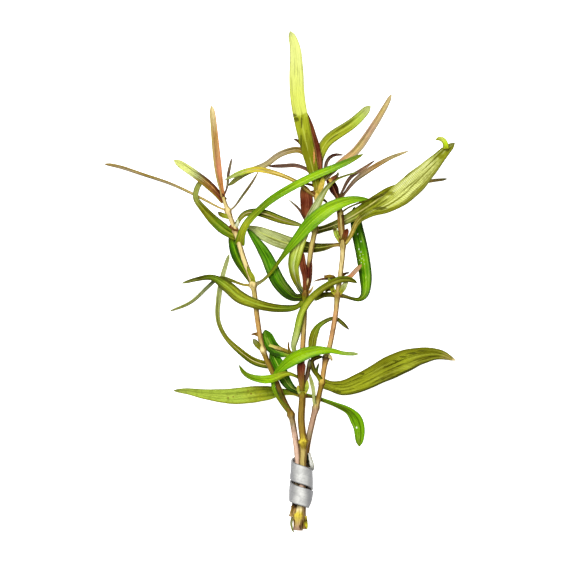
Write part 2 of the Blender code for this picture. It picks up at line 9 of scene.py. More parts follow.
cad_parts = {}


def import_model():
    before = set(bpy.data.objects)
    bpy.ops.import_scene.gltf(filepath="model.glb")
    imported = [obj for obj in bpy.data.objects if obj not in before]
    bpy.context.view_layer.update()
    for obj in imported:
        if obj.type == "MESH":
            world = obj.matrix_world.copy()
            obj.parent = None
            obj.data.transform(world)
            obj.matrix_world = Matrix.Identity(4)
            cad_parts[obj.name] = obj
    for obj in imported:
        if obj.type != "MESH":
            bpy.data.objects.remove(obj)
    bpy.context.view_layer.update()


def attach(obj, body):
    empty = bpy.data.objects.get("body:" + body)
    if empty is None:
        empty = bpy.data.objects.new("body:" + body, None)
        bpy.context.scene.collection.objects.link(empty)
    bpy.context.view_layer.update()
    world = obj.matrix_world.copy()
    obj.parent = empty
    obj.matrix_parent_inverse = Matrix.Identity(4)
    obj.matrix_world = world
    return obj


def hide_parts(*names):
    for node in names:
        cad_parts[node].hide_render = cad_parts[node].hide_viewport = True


# Lengths are in millimetres until a piece is made: X to the right, Y towards the growing tips, Z up.
METRES = 0.001
STEM_RADIUS = 1.06
JOINT_RADIUS = 1.55
JOINT_HALF_LENGTH = 1.9
TIP_LENGTH = 12.0
TIP_RADIUS = 0.75
STEM_SIDES = 12
STEM_RING = 2.2
JOINT_RING = 0.4
# Below STOUT_BELOW the stems are a little stouter, and below CRUSHED_BELOW they are crushed and spread.
STOUT_BELOW = -44.0
STOUTER = {"left": 0.15, "middle": 0.4, "right": 0.15}
CRUSHED_BELOW = -89.0
SPREAD = {"left": 0.2, "middle": 0.5, "right": 0.25}
CHANGE_LENGTH = 4.0
GAP = 0.35
BLADE_COLUMNS = 8
BLADE_ROW = 1.7
FEWEST_ROWS = 10
BLADE_THICKNESS = 0.32
# How far the margins stand above the midrib, and how deep the groove along it is, as shares of the width.
TROUGH = 0.1
GROOVE = 0.05
# The foot of a blade flares onto its stem, and its tip is drawn in over the last share of its length.
FLARE = 0.7
FLARE_LENGTH = 0.9
TIP_SHARE = 0.03
TIP_LEAST = 0.08
# A vertex belongs to a row where it is nearer to it than this share of the step between rows.
ROW_REACH = 0.4
# The strip is wound from its hidden end, low on the right, over the front and round to its cut end.
STRIP_WIDTH = 7.55
STRIP_THICKNESS = 0.8
STRIP_PITCH = 8.6
STRIP_TOP = -67.0
STRIP_FOOT = -91.0
STRIP_X = 8.8
STRIP_LEAN = 0.5
STRIP_RADIUS = 4.4
STRIP_WIDENING = 0.8
STRIP_COLUMNS = 90
STRIP_ROWS = 8
# The winding is counted in steps of a sixteenth of a turn. Its ends are cut aslant.
STEPS_PER_TURN = 16
STRIP_STEPS = 28.3
STRIP_ASLANT = 0.9
STRIP_SUNK = 0.15
STRIP_DENT = 0.22
STRIP_BEVEL = 0.12

# The colours of this bunch, as seen on its leaves, stems and strip.
PALETTE = {
    "vivid": "90bc04", "bright": "6ca002", "grass": "4c8a04", "deep green": "386602", "forest": "253f04",
    "lime": "b8d420", "pale lime": "ccd460", "tip lime": "d6dc80", "yellow": "c8c02c", "straw": "d6b84e",
    "olive": "74760c", "light olive": "98a020", "dark olive": "464806", "moss": "5c7806",
    "pale green": "a4ba40", "sage": "90984c", "grey green": "848a60", "cream": "f2dfa0", "tan": "b89050",
    "peach": "d8906a", "orange": "c9854c", "dusty": "9c8c6c", "olive brown": "86701c",
    "knob yellow": "d4c03c", "brown": "70501c", "dark brown": "3c280c", "rust": "7c4022", "red": "5e2210",
    "maroon": "3a140a", "plum": "6a5044", "black": "141208", "warm tan": "c89a66", "pale tan": "d2be88",
    "khaki": "b8a45e", "ochre": "8e7228", "pale straw": "dcc888", "pale sage": "b2ba7c",
    "dusty pink": "b08e74", "pink": "d6b49c", "white": "f6f6e0", "shade": "88864a", "lead": "b6b6b2",
    "pale lead": "cfcfca", "mid lead": "6e6e70", "dark lead": "484846",
}
# Leaves of these finishes have warm streaks and midribs, not green ones.
WARM_FINISHES = ("red_leaf", "tan_leaf")


def linear(name):
    """A palette colour as the renderer wants it."""
    text = PALETTE[name]
    channels = [int(text[k:k + 2], 16) / 255 for k in (0, 2, 4)]
    return tuple(c / 12.92 if c <= 0.04045 else ((c + 0.055) / 1.055) ** 2.4 for c in channels) + (1.0,)


# Small tools for materials.

class Shading:
    """A new material and short ways to add nodes to it."""

    def __init__(self, name):
        self.material = bpy.data.materials.new(name)
        self.material.use_nodes = True
        self.tree = self.material.node_tree
        self.shader = self.tree.nodes["Principled BSDF"]

    def put(self, value, socket):
        """Sets a socket to a number or colour, or joins it to another socket."""
        if isinstance(value, bpy.types.NodeSocket):
            self.tree.links.new(value, socket)
        else:
            socket.default_value = value

    def outputs(self, kind, sockets, **settings):
        """The outputs of a new node, once its settings are made and its sockets are filled."""
        node = self.tree.nodes.new(kind)
        for setting, value in settings.items():
            setattr(node, setting, value)
        for socket, value in sockets.items():
            self.put(value, node.inputs[socket])
        return node.outputs

    def math(self, kind, a, b=0.0):
        return self.outputs("ShaderNodeMath", {0: a, 1: b}, operation=kind)[0]

    def plus(self, a, b):
        return self.math("ADD", a, b)

    def minus(self, a, b):
        return self.math("SUBTRACT", a, b)

    def times(self, a, b):
        return self.math("MULTIPLY", a, b)

    def size(self, a):
        return self.math("ABSOLUTE", a)

    def parts(self, vector):
        """The X, Y and Z of a vector."""
        return list(self.outputs("ShaderNodeSeparateXYZ", {0: vector}))

    def vector(self, x, y, z=0.0):
        return self.outputs("ShaderNodeCombineXYZ", {0: x, 1: y, 2: z})[0]

    def spread(self, value, low, high, to_low=0.0, to_high=1.0, curve="SMOOTHSTEP"):
        """A value that runs from to_low at low to to_high at high."""
        sockets = {"Value": value, "From Min": low, "From Max": high, "To Min": to_low, "To Max": to_high}
        return self.outputs("ShaderNodeMapRange", sockets, interpolation_type=curve)["Result"]

    def mix(self, share, a, b, kind="MIX"):
        return self.outputs("ShaderNodeMix", {0: share, 6: a, 7: b}, data_type="RGBA", blend_type=kind)[2]

    def tint(self, share, colour, name):
        """The colour with a share of a palette colour over it."""
        return self.mix(share, colour, linear(name))

    def noise(self, where, scale, detail=3.0, distortion=0.0):
        sockets = {"Vector": where, "Scale": scale, "Detail": detail, "Distortion": distortion}
        return self.outputs("ShaderNodeTexNoise", sockets)["Fac"]

    def ramp(self, value, run):
        """A run of palette colours over a value from 0 to 1: names spread evenly, or (place, name) pairs."""
        if isinstance(run, str):
            names = run.split(", ")
            run = [(index / (len(names) - 1), name) for index, name in enumerate(names)]
        node = self.tree.nodes.new("ShaderNodeValToRGB")
        stops = node.color_ramp.elements
        stops.remove(stops[1])
        stops[0].position = run[0][0]
        stops[0].color = linear(run[0][1])
        for place, name in run[1:]:
            stops.new(place).color = linear(name)
        self.put(value, node.inputs["Fac"])
        return node.outputs["Color"]

    def skin(self, colour, roughness, shine, relief, strength, depth):
        """The finished material. depth is how far its relief goes, in metres."""
        bump = self.outputs("ShaderNodeBump", {"Strength": strength, "Distance": depth, "Height": relief})
        self.put(colour, self.shader.inputs["Base Color"])
        self.put(roughness, self.shader.inputs["Roughness"])
        self.put(shine, self.shader.inputs["Specular IOR Level"])
        self.put(bump["Normal"], self.shader.inputs["Normal"])
        return self.material


def leaf_skin(name, length, width, along, rib="pale lime", rib_width=0.14, rib_share=0.45, rib_end=0.9,
              left=None, right=None, edge_share=0.85, tint_end=1.1, rim=0.6, veins=0.4, streaks=0.8,
              mottle=0.3, pale="pale lime", marks=(), gloss=0.45, shine=0.03):
    """The skin of one leaf.

    along is its colours from foot to tip, and rib the line of its midrib, which fades out at rib_end. left
    and right are the tints of its two margins and how far each reaches in, and they fade out at tint_end.
    rim is how strongly painted shade darkens both margins; veins, streaks and mottle say how much each of
    these shows. marks are spots of another colour, among them painted highlights and painted shade, each
    given by its middle, its half width and half height seen from above, and its colour.
    """
    s = Shading(name)
    place = s.outputs("ShaderNodeTexCoord", {})
    u, v, flat = s.parts(place["UV"])
    far = s.times(u, length)
    off_rib = s.times(s.size(s.minus(v, 0.5)), 2.0)
    clouds = s.noise(place["Object"], 260.0, 4.0, 0.4)
    colour = s.ramp(s.plus(u, s.times(s.minus(clouds, 0.5), 0.12)), along)

    # Long streaks that follow the blade, lighter and darker than the skin between them.
    streak = s.noise(s.vector(s.times(far, 0.07), s.times(v, width * 1.3), length), 1.0, 4.0, 0.25)
    lighter = s.tint(0.22, colour, pale)
    darker = s.mix(1.0, colour, linear("shade"), "MULTIPLY")
    colour = s.mix(s.spread(streak, 0.52, 0.66, 0.0, streaks), colour, lighter)
    colour = s.mix(s.spread(streak, 0.5, 0.36, 0.0, streaks), colour, darker)

    # Side veins leave the midrib at a low angle and run forward.
    run = s.minus(far, s.times(off_rib, width * 1.6))
    bands = {"Vector": s.vector(run, s.times(v, width * 0.6)), "Scale": 0.16, "Distortion": 2.2,
             "Detail": 2.0, "Detail Scale": 0.7}
    vein = s.outputs("ShaderNodeTexWave", bands, wave_type="BANDS", bands_direction="X")["Fac"]
    colour = s.mix(s.spread(vein, 0.35, 0.0, 0.0, veins), colour, darker)
    blotch = s.noise(place["Object"], 520.0, 5.0, 0.8)
    colour = s.mix(s.spread(blotch, 0.46, 0.72, 0.0, mottle), colour, darker)

    # Its margins, its rim darkened with painted shade, and its midrib.
    tinted = s.spread(u, tint_end + 0.08, tint_end - 0.08, 0.0, edge_share)
    for margin, across in ((left, s.minus(1.0, v)), (right, v)):
        if margin:
            tint, reach = margin
            colour = s.tint(s.times(s.spread(across, reach, reach * 0.4), tinted), colour, tint)
    # Painted shade: both margins are darkened towards the edge.
    edge = s.mix(1.0, colour, linear("shade"), "MULTIPLY")
    colour = s.mix(s.spread(off_rib, 0.7, 1.0, 0.0, rim), colour, edge)
    if rib:
        on_rib = s.spread(off_rib, rib_width, rib_width * 0.35, 0.0, rib_share)
        fading = s.spread(u, rib_end + 0.12, rib_end - 0.12)
        broken = s.spread(streak, 0.3, 0.5, 0.5, 1.0)
        colour = s.tint(s.times(s.times(on_rib, fading), broken), colour, rib)

    # Spots with ragged edges, among them painted highlights and painted shade.
    if marks:
        spot_x, spot_y, spot_z = s.parts(place["Object"])
        ragged = s.times(s.minus(s.noise(place["Object"], 1600.0), 0.5), 1.2)
    for x, y, half_wide, half_high, name in marks:
        aside = s.math("DIVIDE", s.minus(spot_x, x * METRES), half_wide * METRES)
        ahead = s.math("DIVIDE", s.minus(spot_y, y * METRES), half_high * METRES)
        off = s.math("SQRT", s.plus(s.math("POWER", aside, 2.0), s.math("POWER", ahead, 2.0)))
        colour = s.tint(s.spread(s.plus(off, ragged), 1.0, 0.55, 0.0, 0.85), colour, name)
    roughness = s.spread(blotch, 0.3, 0.8, gloss - 0.06, gloss + 0.14)
    return s.skin(colour, roughness, shine, s.plus(s.times(vein, 0.4), s.times(streak, 1.2)), 0.6, 0.0002)


def stem_skin(name, low, high, runs):
    """Stem colours by place along the bunch, with painted shade down both sides, and fine lengthwise streaks.
    """
    s = Shading(name)
    place = s.outputs("ShaderNodeTexCoord", {})
    drawn_out = s.outputs("ShaderNodeMapping", {"Vector": place["Object"], "Scale": (1.0, 0.1, 1.0)})[0]
    grain = s.noise(drawn_out, 1800.0, 4.0, 0.3)
    clouds = s.noise(place["Object"], 320.0, 3.0, 0.5)
    height = s.spread(s.parts(place["Object"])[1], low * METRES, high * METRES, curve="LINEAR")
    stops = [((y - low) / (high - low), colour) for y, colour in runs]
    colour = s.ramp(s.plus(height, s.times(s.minus(clouds, 0.5), 0.03)), stops)
    browner = s.mix(0.85, colour, linear("brown"), "MULTIPLY")
    colour = s.mix(s.spread(grain, 0.45, 0.7, 0.0, 0.5), colour, browner)
    # Painted shade: the colour darkens towards brown down both sides, where the surface turns sideways.
    facing = s.parts(place["Normal"])[0]
    aside = s.plus(s.size(s.plus(facing, 0.15)), s.times(s.minus(grain, 0.5), 0.5))
    colour = s.mix(s.spread(aside, 0.45, 0.75, 0.0, 0.9), colour, browner)
    colour = s.tint(s.spread(aside, 0.75, 1.0, 0.0, 0.75), colour, "brown")
    return s.skin(colour, s.spread(grain, 0.3, 0.8, 0.4, 0.6), 0.06, grain, 0.5, 0.00012)


def strip_skin():
    """Dull rolled lead: fine lines along it, cloudy grey, its cut edges darker, and painted shade down its
    flanks.
    """
    s = Shading("rolled_lead")
    place = s.outputs("ShaderNodeTexCoord", {})
    u, v, flat = s.parts(place["UV"])
    lines = s.noise(s.vector(s.times(u, 6.0), s.times(v, 26.0)), 1.0, 4.0, 0.6)
    clouds = s.noise(place["Object"], 420.0, 5.0, 0.9)
    scuffs = s.noise(place["Object"], 1500.0, 3.0, 1.5)
    colour = s.tint(s.spread(clouds, 0.35, 0.65), linear("lead"), "pale lead")
    colour = s.tint(s.spread(lines, 0.5, 0.7, 0.0, 0.3), colour, "dark lead")
    colour = s.tint(s.spread(scuffs, 0.6, 0.75, 0.0, 0.35), colour, "dark lead")
    off_middle = s.times(s.size(s.minus(v, 0.5)), 2.0)
    colour = s.tint(s.spread(off_middle, 0.86, 0.98, 0.0, 0.85), colour, "dark lead")
    # Painted shade: both flanks are darker, most of all the right flank of the lower turn.
    flank = s.spread(s.size(s.parts(place["Normal"])[0]), 0.2, 0.9, 0.0, 0.9)
    colour = s.tint(flank, colour, "mid lead")
    x, y, z = s.parts(place["Object"])
    low_right_shade = s.times(s.spread(x, 0.0085, 0.012), s.spread(y, -0.0815, -0.0835, 0.0, 0.75))
    colour = s.tint(low_right_shade, colour, "mid lead")
    relief = s.plus(lines, s.times(scuffs, 0.5))
    return s.skin(colour, s.spread(clouds, 0.3, 0.7, 0.38, 0.58), 0.35, relief, 0.5, 0.00015)


# Routes and profiles, close to those of the solids.

def smooth_curve(points, per_span=12):
    """Close points along a smooth curve through the given ones."""
    points = [Vector(p) for p in points]
    ends = [2 * points[0] - points[1]] + points + [2 * points[-1] - points[-2]]
    curve = []
    for a, b, c, d in zip(ends, ends[1:], ends[2:], ends[3:]):
        for step in range(per_span):
            t = step / per_span
            bend = 2 * a - 5 * b + 4 * c - d
            twist = 3 * b - a - 3 * c + d
            curve.append(0.5 * (2 * b + (c - a) * t + bend * t**2 + twist * t**3))
    curve.append(points[-1])
    return curve


def lengths_along(curve):
    """How far along a curve each of its points lies."""
    lengths = [0.0]
    for a, b in zip(curve, curve[1:]):
        lengths.append(lengths[-1] + (b - a).length)
    return lengths


def between(value, places, results):
    """The result at a value, on straight lines between the given places."""
    for low, high, a, b in zip(places, places[1:], results, results[1:]):
        if value <= high:
            return a + (b - a) * max(0.0, (value - low) / (high - low))
    return results[-1]


def eased(values, t):
    """The value at t, from 0 to 1, of a few values spread evenly along a leaf."""
    if len(values) == 1:
        return values[0]
    place = t * (len(values) - 1)
    low = min(int(place), len(values) - 2)
    part = place - low
    part = part * part * (3 - 2 * part) * 0.5 + part * 0.5
    return values[low] + (values[low + 1] - values[low]) * part


# The axis of each stem from its cut end to its growing tip.
LEFT_STEM = (
    (4.8, -94, 4.6), (5.9, -89.5, 4.7), (6.7, -82, 4.3), (7.1, -72.5, 4), (6.5, -65, 4.6),
    (5.9, -61, 5.3), (4.4, -53, 6.2), (1.9, -48, 6.9), (-2.4, -37.4, 8.1), (-6.8, -27, 9.2),
    (-9, -15, 10.2), (-10.8, -1, 11.2), (-14.6, 9.8, 12.1), (-18, 21, 13),
    (-20.8, 28.6, 13.7), (-22.8, 34.2, 14.2),
)
MIDDLE_STEM = (
    (7.2, -99.2, 5.4), (7.6, -93.8, 5.8), (8.3, -89, 6.4), (8.9, -80, 6.5), (9.1, -72, 6.5),
    (9.4, -64, 6.4), (8.5, -55, 6.9), (9, -45, 7.5), (8.8, -35, 8.3), (8.9, -29, 8.8),
    (9.7, -15, 9.9), (10, -5, 10.8), (11.2, 3, 11.5), (12.4, 13, 12.3), (14, 21.4, 13),
    (14.8, 34.2, 14.2), (14.4, 41, 14.8),
)
RIGHT_STEM = (
    (9.4, -98.8, 4), (9, -92, 4.2), (10.4, -80, 4.1), (10.2, -72, 3.9), (10.9, -65.8, 4.6),
    (11.6, -61.8, 5.1), (13.4, -53.8, 6), (15.2, -47, 6.6), (16.7, -40.2, 7.2), (18.4, -30.2, 8.2),
    (20, -25, 8.6), (22.2, -13, 9.9), (23, -5, 10.8), (24.6, 7, 11.8), (25.1, 15, 12.5),
    (24.1, 27.8, 13.6), (23.5, 33.4, 14.1),
)
# How far along Y the swollen joints sit on each stem, and how much each is swollen.
LEFT_JOINTS = ((-53, 1.1), (-27, 0.8), (-1, 1.8), (21, 1), (28.6, 1.3))
MIDDLE_JOINTS = (
    (-93.8, 1.2), (-64, 1.7), (-45, 1.3), (-30, 1.2), (-5, 1.2), (-0.4, 1), (21.4, 1), (34.2, 0.9),
)
RIGHT_JOINTS = ((-50.2, 0.8), (-40.2, 0.7), (-30.2, 1.1), (-5, 1.2), (15, 0.7), (27.8, 1))
STEMS = {
    "left": (LEFT_STEM, LEFT_JOINTS),
    "middle": (MIDDLE_STEM, MIDDLE_JOINTS),
    "right": (RIGHT_STEM, RIGHT_JOINTS),
}


def on_stem(which, y):
    """The point of a stem's axis at this Y."""
    curve = smooth_curve(STEMS[which][0])
    heights = [p.y for p in curve]
    return Vector((between(y, heights, [p.x for p in curve]), y, between(y, heights, [p.z for p in curve])))


def stem_radius(which, y):
    """How thick a stem is at this Y: even, but swollen at its joints and thinner towards its tip."""
    axis, joints = STEMS[which]
    swelling = 0.0
    for joint, amount in joints:
        off = abs(y - joint) / JOINT_HALF_LENGTH
        if off < 1:
            bulge = (JOINT_RADIUS - STEM_RADIUS) * amount * (0.5 + 0.5 * math.cos(math.pi * off))
            swelling = max(swelling, bulge)
    thinning = max(0.0, (y - axis[-1][1] + TIP_LENGTH) / TIP_LENGTH)
    crushed = SPREAD[which] * min(1.0, max(0.0, (CRUSHED_BELOW - y) / CHANGE_LENGTH))
    stouter = STOUTER[which] * min(1.0, max(0.0, (STOUT_BELOW - y) / CHANGE_LENGTH))
    return STEM_RADIUS + (TIP_RADIUS - STEM_RADIUS) * thinning + swelling + crushed + stouter


def clear_of_stem(which, points, lengths):
    """How far along its route a leaf comes clear of its stem."""
    axis = smooth_curve(STEMS[which][0])
    for point, length in zip(points, lengths):
        near = min(axis, key=lambda p: (p - point).length)
        if (near - point).length - stem_radius(which, near.y) > GAP:
            return length
    return 0.0


# Small tools for modelling.

def start_afresh():
    """Leaves edit mode and selects nothing."""
    if bpy.context.object and bpy.context.object.mode != "OBJECT":
        bpy.ops.object.mode_set(mode="OBJECT")
    bpy.ops.object.select_all(action="DESELECT")


def settle(name):
    """Names the new primitive and puts its place and turn into its mesh."""
    piece = bpy.context.object
    piece.name = name
    piece.data.name = name
    bpy.ops.object.transform_apply(location=True, rotation=True, scale=False)
    return piece


def new_grid(name, columns, rows, y):
    """A flat grid one unit long from the origin in X and one unit wide about y, with an even UV map."""
    start_afresh()
    bpy.ops.mesh.primitive_grid_add(x_subdivisions=columns, y_subdivisions=rows, size=1, calc_uvs=True,
                                    location=(0.5, y, 0))
    return settle(name)


def pick(piece, wanted):
    """In edit mode, selects only the vertices for which wanted is true."""
    net = bmesh.from_edit_mesh(piece.data)
    net.select_mode = {"VERT"}
    for vertex in net.verts:
        vertex.select = bool(wanted(vertex.co))
    net.select_flush_mode()
    bmesh.update_edit_mesh(piece.data, loop_triangles=False, destructive=False)


def finish_modifier(piece, kind, **settings):
    """Adds a modifier and applies it."""
    modifier = piece.modifiers.new(kind.title(), kind)
    for setting, value in settings.items():
        setattr(modifier, setting, value)
    bpy.context.view_layer.objects.active = piece
    bpy.ops.object.modifier_apply(modifier=modifier.name)


def lay_along(piece, points, rolls):
    """Bends a piece that is one unit long in X to lie along a route, turned about it by the rolls."""
    data = bpy.data.curves.new("route", "CURVE")
    data.dimensions = "3D"
    data.twist_mode = "Z_UP"
    data.use_stretch = True
    data.use_deform_bounds = True
    spline = data.splines.new("POLY")
    spline.points.add(len(points) - 1)
    for place, point, roll in zip(spline.points, points, rolls):
        place.co = (*(point * METRES), 1.0)
        place.tilt = roll
    route = bpy.data.objects.new("route", data)
    bpy.context.scene.collection.objects.link(route)
    finish_modifier(piece, "CURVE", object=route, deform_axis="POS_X")
    bpy.data.objects.remove(route)


def keep_above_surface(piece):
    """What would dip under the surface lies flat on it."""
    for vertex in piece.data.vertices:
        vertex.co.z = max(vertex.co.z, 0.0)


def smooth(piece, angle=180):
    """Shades a piece smoothly, apart from edges sharper than the angle in degrees."""
    start_afresh()
    piece.select_set(True)
    bpy.context.view_layer.objects.active = piece
    if angle < 180:
        bpy.ops.object.shade_smooth_by_angle(angle=math.radians(angle))
    else:
        bpy.ops.object.shade_smooth()


def dress(piece, material, slot, *nodes):
    """Gives a piece its material, and says which nodes it replaces."""
    piece.data.materials.clear()
    piece.data.materials.append(material)
    if nodes:
        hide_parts(*nodes)
    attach(piece, "root")


def wave_margins(piece, rows, height, count):
    """In edit mode, makes both margins of a flat blade wave up and down, out of step."""
    for row in range(1, rows):
        x = row / rows
        reach = ROW_REACH / rows
        net = bmesh.from_edit_mesh(piece.data)
        margin = 0.3 * max(v.co.y for v in net.verts if abs(v.co.x - x) < reach)
        swell = math.sin(math.pi * x) * height * METRES
        for side, shift in ((1, 0.0), (-1, 1.9)):
            pick(piece, lambda co: abs(co.x - x) < reach and co.y * side > margin)
            bpy.ops.transform.translate(value=(0, 0, swell * math.sin(2 * math.pi * count * x + shift)))


def blade(name, points, rolls, widths, start, wave):
    """One leaf blade, shaped flat from a grid and then laid along its route."""
    length = lengths_along(points)[-1]
    rows = max(FEWEST_ROWS, round(length / BLADE_ROW))
    piece = new_grid(name, rows, BLADE_COLUMNS, 0)
    bpy.ops.object.mode_set(mode="EDIT")
    # Across: margins lifted, a narrow groove along the midrib.
    for column in range(BLADE_COLUMNS + 1):
        y = column / BLADE_COLUMNS - 0.5
        lift = TROUGH * (2 * abs(y)) ** 1.3 - (GROOVE if column * 2 == BLADE_COLUMNS else 0.0)
        pick(piece, lambda co: abs(co.y - y) < 0.01)
        bpy.ops.transform.translate(value=(0, 0, lift))
    # Along: each row gets its width, drawn in at the tip and flared at the foot.
    for row in range(rows + 1):
        x = row / rows
        t = max(0.0, (x * length - start) / (length - start))
        width = eased(widths, t) * min(1.0, math.sqrt(max(0.0, (1 - t) / TIP_SHARE)) + TIP_LEAST)
        width = (width + FLARE * math.exp(-max(0.0, x * length - start) / FLARE_LENGTH)) * METRES
        pick(piece, lambda co: abs(co.x - x) < ROW_REACH / rows)
        bpy.ops.transform.resize(value=(1, width, width), center_override=(x, 0, 0))
    if wave:
        wave_margins(piece, rows, *wave)
    bpy.ops.object.mode_set(mode="OBJECT")
    lay_along(piece, points, rolls)
    finish_modifier(piece, "SOLIDIFY", thickness=BLADE_THICKNESS * METRES, offset=0.0)
    finish_modifier(piece, "SUBSURF", levels=1, render_levels=1)
    keep_above_surface(piece)
    smooth(piece)
    return piece


def leaf(name, finish, foot, way, widths, along, roll=(0,), wave=None, node=True, **skin):
    """One leaf. The first word of its name is its stem, which it leaves at Y = foot.

    With no foot it starts at the first point of its way. With no node it is a small leaf without a solid.
    """
    which = name.split("_")[0]
    points = smooth_curve(way if foot is None else [on_stem(which, foot), *way])
    lengths = lengths_along(points)
    start = 0.0 if foot is None else clear_of_stem(which, points, lengths)
    blade_length = lengths[-1] - start
    rolls = [math.radians(eased(roll, max(0.0, (length - start) / blade_length))) for length in lengths]
    if finish in WARM_FINISHES:
        skin = {"pale": "peach", "rib": "rust", "rib_share": 0.3} | skin
    piece = blade(f"{name}_blade", points, rolls, widths, start, wave)
    material = leaf_skin(f"{name}_skin", lengths[-1], max(widths), along, **skin)
    dress(piece, material, finish, *([name] if node else []))


